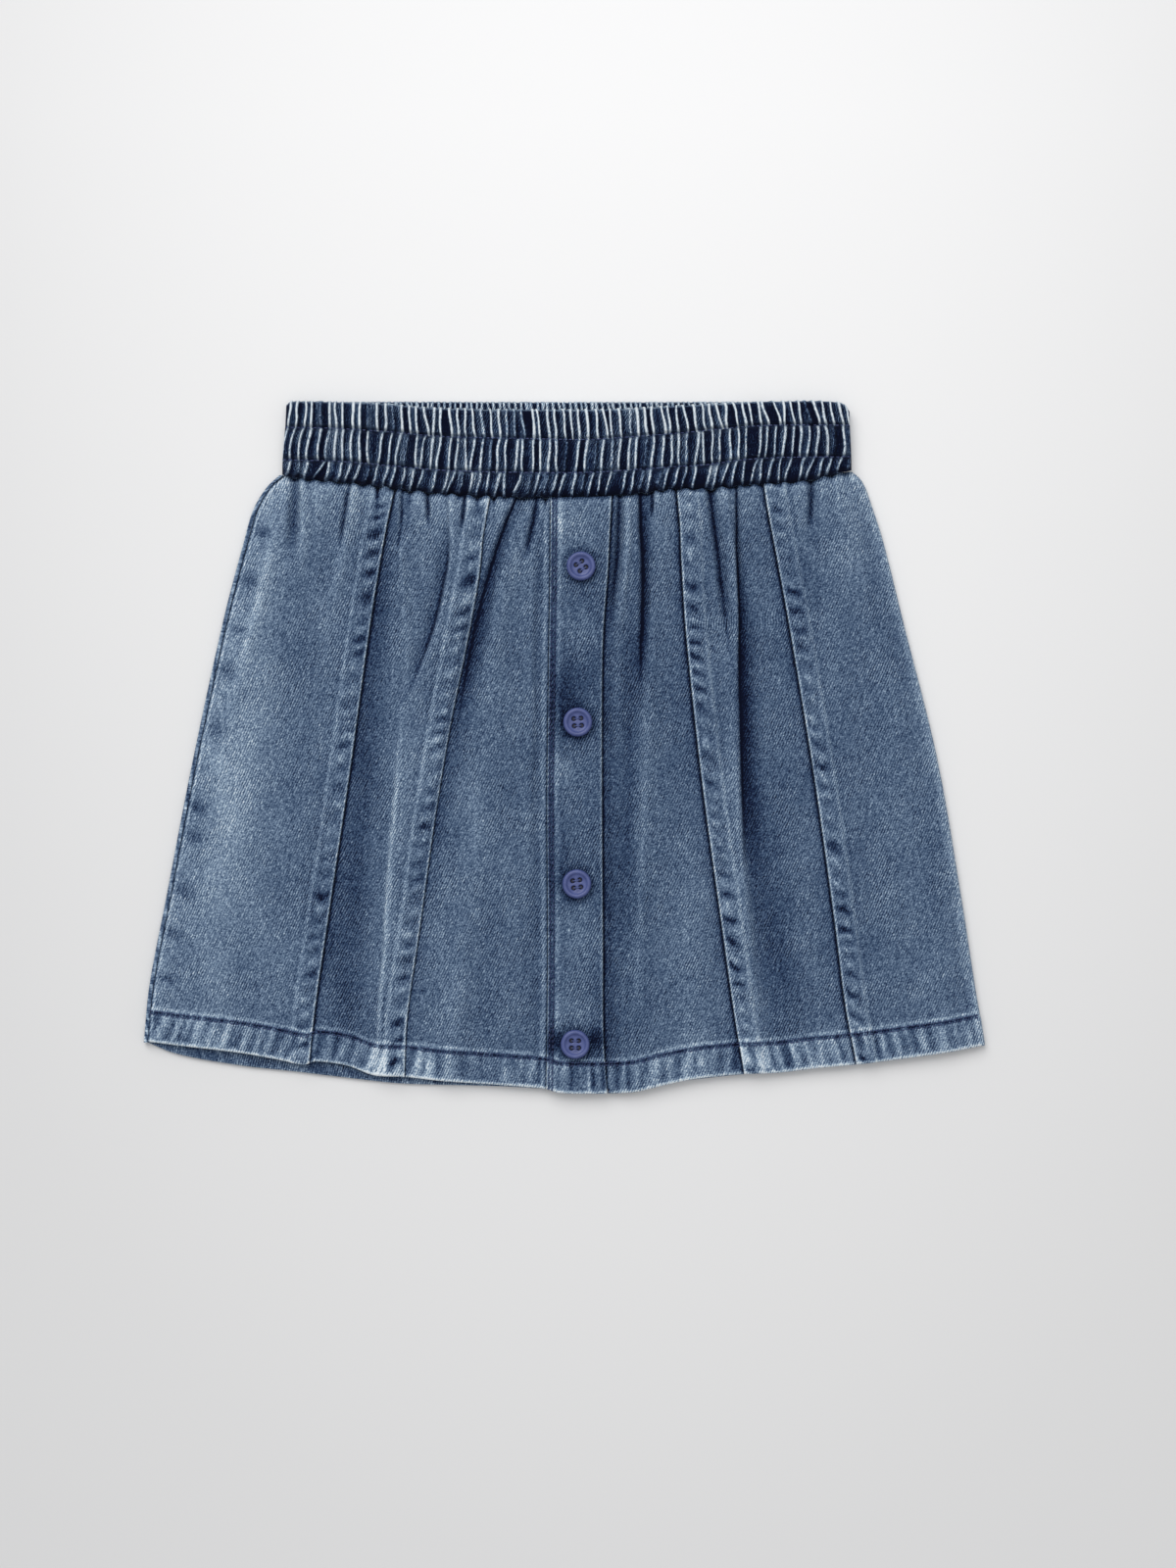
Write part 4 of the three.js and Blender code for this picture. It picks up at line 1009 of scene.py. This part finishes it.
def channel_face(index, ribs, x, share, fine):
    """The points, and the wear with painted shade and light, of one channel's face."""
    channel = CHANNELS[index]
    first, last = index == 0, index == len(CHANNELS) - 1
    upper_y = through(channel["upper"], x)
    lower_y = through(channel["lower"], x)
    if last:
        lower_y = lower_y + SEAM_GAP / 2 + SEAM_SCALLOP * gather_wave(x)
    height, worn, lit_side = band_relief(ribs, x, share)
    y = mix(upper_y, lower_y, share)
    from_top = upper_y - y
    from_low = y - lower_y
    puff = np.sin(math.pi * np.clip(share, 0, 1)) ** 0.5
    if last:
        stitched = hump(from_top, 0.85) + 1.3 * hump(from_low, 1.0)
    else:
        stitched = hump(from_low, 0.85) + (0 if first else hump(from_top, 0.85))
    tall = channel["height"] * (1 - 0.62 * np.clip(stitched, 0, 1))
    crest = smooth(0.1, 0.5, height)
    z = BAND_TOP + 0.45 * puff + tall * height - 0.85 * stitched
    z = z + 0.10 * fine(x / 0.9, y / 0.8) * crest
    # The cloth between gathers keeps its dye; one side of each gather gets painted light.
    wear_and_shade = CHANNEL_DYE + GATHER_SIDE_PAINTED_LIGHT * lit_side + GATHER_FOOT_WORN * smooth(0.02, 0.25, height)
    wear_and_shade = wear_and_shade + GATHER_CREST_WORN * channel["pale"] * smooth(0.25, 0.85, worn)
    faded = smooth(0.15, 0.8, pucker_noise(x / 5.5 + 40, y / 7)) * (1 - smooth(0.2, 0.6, height))
    wear_and_shade = wear_and_shade + (0.55 if last else 0.3) * faded
    wear_and_shade = wear_and_shade + 0.5 * fine((x + y) / 0.9 + 5, (y - 0.3 * x) / 0.8) * crest
    wear_and_shade = wear_and_shade - 0.85 * np.clip(stitched, 0, 1) * smooth(0.2, 0.8, height)
    # A painted shadow along the waist seam darkens the last channel's lower part, most near the middle.
    if last:
        wear_and_shade = wear_and_shade - 0.75 * smooth(0.5, 1.0, share) * (0.5 + 0.5 * hump(x + 13, 60))
    if first:
        scallop = 0.55 * (1 - smooth(0.1, 0.8, height)) * hump(from_top, 1.5)
        y = y - scallop - band_corner(x) * (1 - share)
        rounding = np.clip(1 - from_top / TOP_ROUND, 0, 1)
        z = z - (z - BAND_CORE - 0.9) * (1 - np.sqrt(1 - rounding ** 2))
        rim = (0.6 + 0.4 * smooth(0.1, 0.6, height)) * hump(from_top - 0.2, 0.55)
        wear_and_shade = np.maximum(wear_and_shade, mix(wear_and_shade, 0.8, rim))
    least = BAND_CORE + END_THICKNESS
    z = least + (z - least) * band_ends(x, BAND_LEFT, BAND_RIGHT)
    return on_band(x, y, z), np.broadcast_to(wear_and_shade, z.shape)


def make_waistband_front(material):
    """The front run: three stitched channels of gathers, and a plain inside."""
    x = spaced(BAND_LEFT, BAND_RIGHT, FRONT_STEP)[None]
    fine = Wander(31)
    faces = [channel_face(index, ribs, x, channel_rows(index)[:, None], fine)
             for index, ribs in enumerate(band_ribs())]
    outer = np.concatenate([points for points, wear_and_shade in faces])
    wear_and_shade = np.concatenate([wear_and_shade for points, wear_and_shade in faces])
    under = spaced(BAND_LEFT, BAND_RIGHT, UNDER_STEP)
    lines = [through(BAND_UPPER, under) - 0.5 - band_corner(under), through(BAND_STITCH_ONE, under),
             through(BAND_STITCH_TWO, under), through(WAIST_SEAM, under) + SEAM_GAP / 2]
    inner = np.stack([on_band(under, y, BAND_CORE) for y in lines])
    return cloth_piece("waistband_front", outer, inner, wear_and_shade, FRONT_TWILL, material)


def make_waistband_back(material):
    """The back run: gathered along the strip that shows over the front one, plain below it."""
    columns = spaced(BAND_LEFT + BACK_INSET, BAND_RIGHT - BACK_INSET, BACK_STEP)
    x = columns[None]
    depth = np.array([0, 0.2, 0.5, 0.9, 1.4, 2.0, 3.0, 4.5, 8.0])[:, None]
    channel = dict(CHANNELS[0], ribs=BACK_RIBS, seed=BACK_RIB_SEED, forks=[])
    height = band_relief(channel_ribs(channel)[0], x, np.clip(depth / 11.0, 0, 1))[0]
    y = through(BAND_BACK_UPPER, x) - depth
    y = y - 1.4 * band_corner(x) * np.clip(1 - depth / 8, 0, 1)
    z = BAND_BACK_HEIGHT - 1.1 * (1 - height)
    rounding = np.clip(1 - depth / TOP_ROUND, 0, 1)
    z = z - (z - 0.9) * (1 - np.sqrt(1 - rounding ** 2))
    y = y - 0.45 * (1 - smooth(0.1, 0.8, height)) * hump(depth, 1.0)
    wear_and_shade = -1.2 + 2.1 * smooth(0.12, 0.85, height)
    wear_and_shade = np.maximum(wear_and_shade, mix(wear_and_shade, 0.35, hump(depth - 0.1, 0.4)))
    ends = band_ends(x, columns[0], columns[-1])
    z = END_THICKNESS + (z - END_THICKNESS) * ends
    last = points_at(columns, through(BACK_WAIST_SEAM, columns) + SEAM_GAP / 2,
                     END_THICKNESS + (BAND_BACK_HEIGHT - 2 * END_THICKNESS) * ends[0])
    outer = np.concatenate([on_band(x, y, z), last[None]])
    wear_and_shade = np.concatenate([wear_and_shade, np.full((1, len(columns)), -0.4)])
    under = spaced(columns[0], columns[-1], UNDER_STEP)
    upper_y = through(BAND_BACK_UPPER, under) - 0.5 - 1.4 * band_corner(under)
    inner = np.stack([on_band(under, upper_y, 0),
                      points_at(under, through(BACK_WAIST_SEAM, under) + SEAM_GAP / 2, 0)])
    return cloth_piece("waistband_back", outer, inner, wear_and_shade, BACK_RUN_TWILL, material)


# ---- buttons -------------------------------------------------------------------------------
HOLE_SPREAD = 1.55              # from the button's middle to a hole's, each way
HOLE_RADIUS = 1.0
HOLE_DEPTH = 1.3
BUTTON_SIDES = 96
# The turned face and the side below it: shares of the radius, and shares of the height there.
BUTTON_FACE = [
    (0, 0.60), (0.3, 0.60), (0.52, 0.63), (0.62, 0.69), (0.68, 0.80), (0.73, 0.93), (0.79, 0.995),
    (0.86, 1.0), (0.92, 0.93), (0.965, 0.78), (0.99, 0.6), (1.0, 0.42),
]
BUTTON_SIDE = [(0.985, 0.2), (0.95, 0.06), (0.9, 0.0)]
THREAD_RADIUS = 0.17
THREAD_SIDES = 10
THREAD_STEPS = 18
THREAD_RISE = 0.12              # the thread bars' middle over the button's dish


def turned(x, y, button):
    """A place on the button, turned as the button is and moved to its middle."""
    turn = math.radians(button["turn"])
    return (x * math.cos(turn) - y * math.sin(turn) + button["x"],
            x * math.sin(turn) + y * math.cos(turn) + button["y"])


def make_button(index, button, material, seat):
    """A turned button with a raised rim, a dish and four sewing holes."""
    radii = np.concatenate([np.linspace(0.03, 0.56, 26), np.linspace(0.585, 1.0, 24)])
    angles = np.linspace(0, 2 * math.pi, BUTTON_SIDES, endpoint=False)
    x = radii[:, None] * BUTTON_RADIUS * np.cos(angles)
    y = radii[:, None] * BUTTON_RADIUS * np.sin(angles)
    z = np.repeat(through(BUTTON_FACE, radii)[:, None], BUTTON_SIDES, axis=1) * BUTTON_HEIGHT
    hole = np.zeros_like(x)
    for side_x in (-1, 1):
        for side_y in (-1, 1):
            away = np.hypot(x - side_x * HOLE_SPREAD, y - side_y * HOLE_SPREAD)
            inside = 1 - smooth(HOLE_RADIUS - 0.22, HOLE_RADIUS + 0.1, away)
            hole = np.maximum(hole, inside)
            z = z - HOLE_DEPTH * inside - 0.12 * hump(away - HOLE_RADIUS - 0.1, 0.22)
    rings = list(points_at(x, y, z))
    for radius, height in BUTTON_SIDE:
        rings.append(points_at(radius * BUTTON_RADIUS * np.cos(angles),
                               radius * BUTTON_RADIUS * np.sin(angles), height * BUTTON_HEIGHT))
    points = np.concatenate(rings + [np.array([[0, 0, z[0].mean()], [0, 0, 0]])])
    last_ring = (len(rings) - 1) * BUTTON_SIDES
    centre, base = len(points) - 2, len(points) - 1
    faces = []
    for i in range(len(rings) - 1):
        a, b = i * BUTTON_SIDES, (i + 1) * BUTTON_SIDES
        for j in range(BUTTON_SIDES):
            n = (j + 1) % BUTTON_SIDES
            faces.append((a + j, b + j, b + n, a + n))
    for j in range(BUTTON_SIDES):
        n = (j + 1) % BUTTON_SIDES
        faces.append((centre, j, n))
        faces.append((base, last_ring + n, last_ring + j))
    placed = points_at(*turned(points[:, 0], points[:, 1], button), points[:, 2] + seat)
    inside_hole = np.concatenate([hole.ravel(), np.zeros(len(points) - hole.size)])
    piece = mesh_object(f"turned_button_{index}", placed, faces, material,
                        [("hole", "FLOAT", inside_hole)])
    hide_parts(f"button_{index}")
    return piece


def make_button_thread(index, button, material, seat):
    """Two bars of thread, each of two strands through a pair of holes."""
    points, faces = [], []
    for side in (-1, 1):
        for strand in (-0.1, 0.1):
            base = len(points)
            for i in range(THREAD_STEPS + 1):
                s = -1 + 2 * i / THREAD_STEPS
                along = s * (HOLE_SPREAD + 0.15)
                drop = HOLE_DEPTH * max(0.0, (abs(s) - 0.3) / 0.7) ** 1.3
                height = 0.66 * BUTTON_HEIGHT + THREAD_RISE - drop + seat
                sideways = side * HOLE_SPREAD + strand * (1 + 0.25 * math.sin(3 * s + side))
                for j in range(THREAD_SIDES):
                    angle = 2 * math.pi * j / THREAD_SIDES
                    place = turned(along, sideways + THREAD_RADIUS * math.cos(angle), button)
                    points.append(place + (height + THREAD_RADIUS * math.sin(angle),))
            for i in range(THREAD_STEPS):
                a, b = base + i * THREAD_SIDES, base + (i + 1) * THREAD_SIDES
                for j in range(THREAD_SIDES):
                    n = (j + 1) % THREAD_SIDES
                    faces.append((a + j, a + n, b + n, b + j))
            end = base + THREAD_STEPS * THREAD_SIDES
            faces.append(tuple(base + j for j in range(THREAD_SIDES))[::-1])
            faces.append(tuple(end + j for j in range(THREAD_SIDES)))
    return mesh_object(f"button_thread_{index}", points, faces, material)


# ---- stitches ------------------------------------------------------------------------------
# What a row of stitches can be given: the input's name, its kind and its usual value.
STITCH_INPUTS = [("Stitch spacing", "Float", 0.0022), ("Stitch length", "Float", 0.0017),
                 ("Thread width", "Float", 0.0005), ("Seed", "Int", 5), ("Thread", "Material", None)]
STITCH_SCALES = (0.82, 1.08)    # a stitch is this much smaller or larger than its row's size
STITCH_LIFT = 0.10              # a stitch's middle over the cloth
THREAD_WIDTH = 0.5
HEM_ROW_INSET = 0.15            # the hem's upper row lies this far below the fold's edge


def add_node(tree, kind, settings):
    """A node with its settings: properties, numbers for its inputs, and outputs to join to them."""
    node = tree.nodes.new(kind)
    for key, value in settings.items():
        if isinstance(key, str) and key not in node.inputs:
            setattr(node, key, value)
        elif hasattr(value, "is_linked"):
            tree.links.new(value, node.inputs[key])
        else:
            node.inputs[key].default_value = value
    return node.outputs


def stitch_tree():
    """Geometry Nodes: a row of short thread stitches along a line."""
    tree = bpy.data.node_groups.new("row_of_stitches", "GeometryNodeTree")
    face = tree.interface
    for way in ("INPUT", "OUTPUT"):
        face.new_socket("Geometry", in_out=way, socket_type="NodeSocketGeometry")
    sizes = {}
    for label, kind, usual in STITCH_INPUTS:
        socket = face.new_socket(label, in_out="INPUT", socket_type="NodeSocket" + kind)
        sizes[label] = socket.identifier
        if usual is not None:
            socket.default_value = usual

    def add(kind, **settings):
        return add_node(tree, kind, settings)

    given = add("NodeGroupInput")
    length, width = given["Stitch length"], given["Thread width"]
    line = add("GeometryNodeMeshToCurve", Mesh=given["Geometry"])
    spots = add("GeometryNodeResampleCurve", mode="LENGTH", Curve=line["Curve"],
                Length=given["Stitch spacing"])
    bead = add("GeometryNodeMeshUVSphere", Segments=8, Rings=6, Radius=0.5)
    size = add("ShaderNodeCombineXYZ", X=length, Y=width, Z=width)
    shape = add("GeometryNodeTransform", Geometry=bead["Mesh"], Scale=size["Vector"])
    turn = add("FunctionNodeAlignRotationToVector", axis="X",
               Vector=add("GeometryNodeInputTangent")["Tangent"])
    vary = add_node(tree, "FunctionNodeRandomValue", {
        "data_type": "FLOAT", 2: STITCH_SCALES[0], 3: STITCH_SCALES[1], "Seed": given["Seed"]})
    rows = add("GeometryNodeInstanceOnPoints", Points=spots["Curve"], Instance=shape["Geometry"],
               Rotation=turn["Rotation"], Scale=vary[1])
    real = add("GeometryNodeRealizeInstances", Geometry=rows["Instances"])
    soft = add("GeometryNodeSetShadeSmooth", Geometry=real["Geometry"])
    paint = add("GeometryNodeSetMaterial", Geometry=soft["Geometry"], Material=given["Thread"])
    add("NodeGroupOutput", Geometry=paint["Geometry"])
    return tree, sizes


def stitched_rows(name, lines, tree, sizes, material, spacing, length):
    """One piece with a row of stitches along each line of points."""
    vertices, edges = [], []
    for line in lines:
        base = len(vertices)
        vertices += [tuple(p * MM) for p in np.asarray(line)]
        edges += [(base + i, base + i + 1) for i in range(len(line) - 1)]
    path = bpy.data.meshes.new(name + "_path")
    path.from_pydata(vertices, edges, [])
    holder = bpy.data.objects.new(name + "_path", path)
    scene.collection.objects.link(holder)
    modifier = holder.modifiers.new("stitches", "NODES")
    modifier.node_group = tree
    modifier[sizes["Stitch spacing"]] = spacing * MM
    modifier[sizes["Stitch length"]] = length * MM
    modifier[sizes["Thread width"]] = THREAD_WIDTH * MM
    modifier[sizes["Thread"]] = material
    bpy.context.view_layer.update()
    graph = bpy.context.evaluated_depsgraph_get()
    made = bpy.data.meshes.new_from_object(holder.evaluated_get(graph))
    bpy.data.objects.remove(holder)
    bpy.data.meshes.remove(path)
    made.name = name
    piece = bpy.data.objects.new(name, made)
    scene.collection.objects.link(piece)
    if not made.materials:
        made.materials.append(material)
    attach(piece, "root")
    return piece


def hem_lines(panels):
    """The hem's two rows of stitches, over each panel in turn."""
    share = np.linspace(0.002, 0.998, 140)
    upper_row = HEM_DEPTH - HEM_ROW_INSET
    lines = []
    for panel in panels:
        waist_y = through(WAIST_SEAM, mix(*panel.waist, share))
        hem_y = through(FRONT_HEM, mix(*panel.hem, share))
        for from_hem in (upper_row, upper_row - HEM_ROWS_APART):
            down = 1 - from_hem / (waist_y - hem_y)
            x = mix(panel.left_at(down), panel.right_at(down), share)
            lines.append(panel.face(x, down)[0] + np.array([0, 0, STITCH_LIFT]))
    return lines


def placket_lines(panel):
    """The button band's two rows of stitches, along its left edge."""
    down = np.linspace(0.006, 0.9975, 420)
    return [panel.face(panel.left_at(down) + place, down)[0] + np.array([0, 0, STITCH_LIFT])
            for place in PLACKET_ROWS]


def band_lines():
    """The front waistband's two rows of stitches, over its gathers."""
    lines = []
    ribs = band_ribs()
    x = np.linspace(BAND_LEFT + 1.0, BAND_RIGHT - 1.0, 700)
    least = BAND_CORE + END_THICKNESS
    for index, line in ((0, BAND_STITCH_ONE), (1, BAND_STITCH_TWO)):
        height = band_relief(ribs[index], x, np.ones_like(x))[0]
        z = BAND_TOP - 0.86 + 0.38 * CHANNELS[index]["height"] * height
        z = least + (z - least) * band_ends(x, BAND_LEFT, BAND_RIGHT)
        lines.append(on_band(x, through(line, x), z))
    return lines


# ---- materials -----------------------------------------------------------------------------


def srgb(red, green, blue):
    """A colour given as 0 to 255 on a screen, as the light that a material returns."""
    return tuple(((c / 255 + 0.055) / 1.055) ** 2.4 if c > 10 else c / 255 / 12.92
                 for c in (red, green, blue)) + (1.0,)


class Shader:
    """Short names for the nodes that the finishes are made of."""

    def __init__(self, name, roughness, sheen=0.0, specular=0.5):
        self.material = bpy.data.materials.new(name)
        self.material.use_nodes = True
        self.tree = self.material.node_tree
        self.surface = self.tree.nodes["Principled BSDF"]
        for label, value in (("Roughness", roughness), ("Sheen Weight", sheen),
                             ("Specular IOR Level", specular)):
            self.surface.inputs[label].default_value = value

    def add(self, kind, settings, output=0):
        return add_node(self.tree, kind, settings)[output]

    def math(self, operation, a, b=0.0):
        return self.add("ShaderNodeMath", {"operation": operation, 0: a, 1: b})

    def attribute(self, name, output):
        return self.add("ShaderNodeAttribute", {"attribute_name": name}, output)

    def object_place(self):
        return self.add("ShaderNodeTexCoord", {}, "Object")

    def split(self, vector):
        return add_node(self.tree, "ShaderNodeSeparateXYZ", {"Vector": vector})

    def scaled(self, vector, scale):
        return self.add("ShaderNodeMapping", {"Vector": vector, "Scale": scale})

    def noise(self, vector, detail=2.0, roughness=0.5):
        return self.add("ShaderNodeTexNoise", {"Vector": vector, "Scale": 1.0, "Detail": detail,
                                               "Roughness": roughness}, "Fac")

    def remap(self, value, low, high, to_low, to_high):
        return self.add("ShaderNodeMapRange", {"Value": value, "From Min": low, "From Max": high,
                                               "To Min": to_low, "To Max": to_high})

    def ramp(self, value, stops):
        node = self.tree.nodes.new("ShaderNodeValToRGB")
        self.tree.links.new(value, node.inputs["Fac"])
        elements = node.color_ramp.elements
        while len(elements) < len(stops):
            elements.new(0.5)
        for element, (place, colour) in zip(elements, stops):
            element.position = place
            element.color = srgb(*colour)
        return node.outputs["Color"]

    def relief(self, height, distance, strength):
        """Small bumps in the surface, which only bend the light."""
        normal = self.add("ShaderNodeBump", {"Distance": distance, "Strength": strength,
                                             "Height": height}, "Normal")
        self.tree.links.new(normal, self.surface.inputs["Normal"])

    def paint(self, value, stops):
        self.tree.links.new(self.ramp(value, stops), self.surface.inputs["Base Color"])


TWILL_PITCH = 1.02              # between the twill's lines
FLOAT_PITCH = 1.55              # between the short floats that a line is made of
YARN_WANDER = 5.0               # how far the twill's lines wander, as an angle
MIDDLE_TONE = 0.46              # of plain cloth, along the shades below
WEAR_AND_SHADE_TONE = 0.42                # how far up the shades a wear-and-shade value of 1 goes
# From the dye and painted shade of a crease to the bare yarn of a worn edge.
DENIM_SHADES = [
    (0.00, (2, 7, 29)), (0.15, (14, 28, 58)), (0.34, (49, 69, 97)), (0.50, (81, 100, 125)),
    (0.68, (121, 141, 164)), (0.84, (171, 190, 205)), (1.00, (222, 230, 235)),
]


def denim(name, twill_strength, heather_strength):
    """Washed denim: diagonal twill, flecked and uneven yarns, wash marks, and wear where it is
    rubbed, with the painted shade and painted light that the wear-and-shade attribute carries."""
    s = Shader(name, roughness=0.95, sheen=0.02, specular=0.12)
    weave = s.attribute("weave", "Vector")
    along, across, _ = s.split(weave)
    # Yarns wander a little, so the twill's lines do too.
    wander = s.noise(s.scaled(weave, (0.35, 0.5, 0.3)), 2.0)
    phase = s.math("ADD", s.math("MULTIPLY", across, 2 * math.pi / TWILL_PITCH),
                   s.math("MULTIPLY", wander, YARN_WANDER))
    floats = s.math("SINE", s.math("ADD", s.math("MULTIPLY", along, 2 * math.pi / FLOAT_PITCH),
                                   s.math("MULTIPLY", across, 3.1)))
    twill = s.math("ADD", s.math("MULTIPLY", s.math("SINE", phase), 0.85),
                   s.math("MULTIPLY", floats, 0.10))
    clear = s.remap(s.noise(s.scaled(weave, (0.05, 0.07, 0.05)), 2.0), 0.36, 0.62, 0.45, 1.2)
    grain = s.noise(s.scaled(weave, (0.28, 0.98, 0.3)), 1.5, 0.6)
    speckle = s.noise(s.scaled(weave, (1.3, 2.4, 1.4)), 2.5, 0.65)
    heather = s.noise(s.scaled(weave, (0.8, 1.1, 1.0)), 1.0)
    yarns = s.noise(s.scaled(s.object_place(), (1100.0, 70.0, 70.0)), 2.0, 0.6)
    wash = s.noise(s.scaled(s.object_place(), (48.0, 30.0, 40.0)), 4.0, 0.6)
    tone = s.math("ADD", MIDDLE_TONE, s.math("MULTIPLY", s.attribute("wear_and_shade", "Fac"), WEAR_AND_SHADE_TONE))
    tone = s.math("ADD", tone, s.math("MULTIPLY", s.math("MULTIPLY", twill, clear), twill_strength))
    for value, strength in ((grain, 0.38), (speckle, 0.85), (heather, heather_strength),
                            (yarns, 0.14), (wash, 0.2)):
        tone = s.math("ADD", tone, s.math("MULTIPLY", s.math("SUBTRACT", value, 0.5), strength))
    s.paint(tone, DENIM_SHADES)
    height = s.math("ADD", s.math("MULTIPLY", twill, 0.5), s.math("MULTIPLY", grain, 0.8))
    s.relief(height, 0.00016, 0.55)
    return s.material


def thread(name, dark, light):
    """Twisted sewing thread."""
    s = Shader(name, roughness=0.85, sheen=0.1)
    place = s.object_place()
    twist = s.noise(s.scaled(place, (2400.0, 2400.0, 2400.0)), 2.0)
    s.paint(twist, [(0.3, dark), (0.7, light)])
    s.relief(twist, 0.00008, 0.4)
    return s.material


HOLE_SHADE = 0.6                # how far the painted shade in a hole goes down the plastic's shades
PLASTIC_SHADES = [(0.05, (3, 6, 34)), (0.3, (58, 70, 120)), (0.7, (74, 86, 138))]


def button_plastic():
    """Clouded plastic with a soft shine, and painted shade in its holes."""
    s = Shader("dyed_button_plastic", roughness=0.42)
    place = s.object_place()
    cloud = s.noise(s.scaled(place, (260.0, 260.0, 260.0)), 3.0, 0.6)
    shade = s.math("SUBTRACT", cloud, s.math("MULTIPLY", s.attribute("hole", "Fac"), HOLE_SHADE))
    s.paint(shade, PLASTIC_SHADES)
    scuff = s.noise(s.scaled(place, (1500.0, 1500.0, 1500.0)), 2.0)
    s.relief(scuff, 0.00003, 0.35)
    return s.material


FLOOR_PAINTED_GLOW = [(0.0, (240, 240, 240)), (0.5, (214, 214, 214)), (1.0, (196, 196, 196))]
FLOOR_PALE_Y = 0.27             # the painted glow on the floor is brightest here, in metres
FLOOR_DARK_Y = -0.36            # and the painted falloff darkest here
FLOOR_MIDDLE_X = 0.03


def floor_with_painted_glow():
    """Pale paper with a painted glow, brightest at the top middle, and painted darker downwards and to
    both sides.
    """
    s = Shader("floor_with_painted_glow", roughness=0.95)
    x, y, _ = s.split(s.object_place())
    down = s.remap(y, FLOOR_PALE_Y, FLOOR_DARK_Y, 0.0, 1.0)
    aside = s.math("MULTIPLY", s.math("SUBTRACT", x, FLOOR_MIDDLE_X), 4.0)
    aside = s.math("MULTIPLY", s.math("MULTIPLY", aside, aside), s.remap(down, 0.0, 1.0, 0.5, 0.22))
    shade = s.math("MULTIPLY", s.math("ADD", s.math("ABSOLUTE", down), aside), 0.5)
    s.paint(shade, FLOOR_PAINTED_GLOW)
    return s.material


# ---- floor and light -----------------------------------------------------------------------
FLOOR_SIDE = 6.0                # metres, as are the places of the lights
FLOOR_LEVEL = -0.0002


def make_floor():
    """A square of floor, just under the skirt."""
    mesh = bpy.data.meshes.new("floor")
    half = FLOOR_SIDE / 2
    corners = [(-half, -half), (half, -half), (half, half), (-half, half)]
    mesh.from_pydata([corner + (FLOOR_LEVEL,) for corner in corners], [], [(0, 1, 2, 3)])
    floor = bpy.data.objects.new("floor", mesh)
    scene.collection.objects.link(floor)
    mesh.materials.append(floor_with_painted_glow())


def area_light(name, place, aim, size, power, colour=(1, 1, 1)):
    """A round soft light that faces the place it is aimed at."""
    data = bpy.data.lights.new(name, "AREA")
    data.shape = "DISK"
    data.size = size
    data.energy = power
    data.color = colour
    lamp = bpy.data.objects.new(name, data)
    lamp.location = place
    lamp.rotation_euler = (Vector(aim) - Vector(place)).to_track_quat("-Z", "Y").to_euler()
    scene.collection.objects.link(lamp)


def make_light():
    """A window beyond the waist, a weaker light overhead and a dim, slightly blue room."""
    area_light("window_light", place=(-1.7, 3.3, 3.9), aim=(0, 0.02, 0), size=4.2, power=172.0,
               colour=(1.0, 0.995, 0.985))
    area_light("soft_overhead", place=(0.6, 0.8, 4.6), aim=(0, 0, 0), size=4.6, power=54.0)
    world = bpy.data.worlds.new("studio")
    world.use_nodes = True
    background = world.node_tree.nodes["Background"]
    background.inputs["Color"].default_value = (0.975, 0.98, 1.0, 1)
    background.inputs["Strength"].default_value = 0.5
    scene.world = world
    scene.view_settings.view_transform = "Standard"
    scene.view_settings.look = "None"


# ---- the skirt -----------------------------------------------------------------------------
make_camera()
make_floor()
make_light()

body_denim = denim("washed_denim", twill_strength=0.18, heather_strength=0.62)
band_denim = denim("gathered_denim", twill_strength=0.32, heather_strength=0.45)
seam_thread = thread("dark_blue_thread", (24, 36, 74), (52, 66, 108))
band_thread = thread("violet_blue_thread", (40, 50, 96), (92, 104, 150))
button_thread = thread("button_thread", (50, 62, 108), (84, 96, 146))
plastic = button_plastic()

panels = [Panel(number, row) for number, row in enumerate(PANELS)]
cloth = {panel.row["node"]: make_panel(panel, body_denim) for panel in panels}
cloth["back_panel"] = make_back_panel(body_denim)
cloth["waistband_back"] = make_waistband_back(band_denim)
cloth["waistband_front"] = make_waistband_front(band_denim)

placket = next(panel for panel in panels if panel.row["node"] == "button_placket")
tree, tree_sizes = stitch_tree()
# Each piece of sewing: its lines and thread, and its stitches' spacing and length.
for name, lines, material, spacing, length in (
        ("hem_stitches", hem_lines(panels), seam_thread, 2.3, 1.9),
        ("button_band_stitches", placket_lines(placket), seam_thread, 2.3, 1.8),
        ("waistband_stitches", band_lines(), band_thread, 2.6, 2.1)):
    stitched_rows(name, lines, tree, tree_sizes, material, spacing, length)

for number, button in enumerate(BUTTONS, 1):
    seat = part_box(f"button_{number}")[0][2] / MM
    make_button(number, button, plastic, seat)
    make_button_thread(number, button, button_thread, seat)
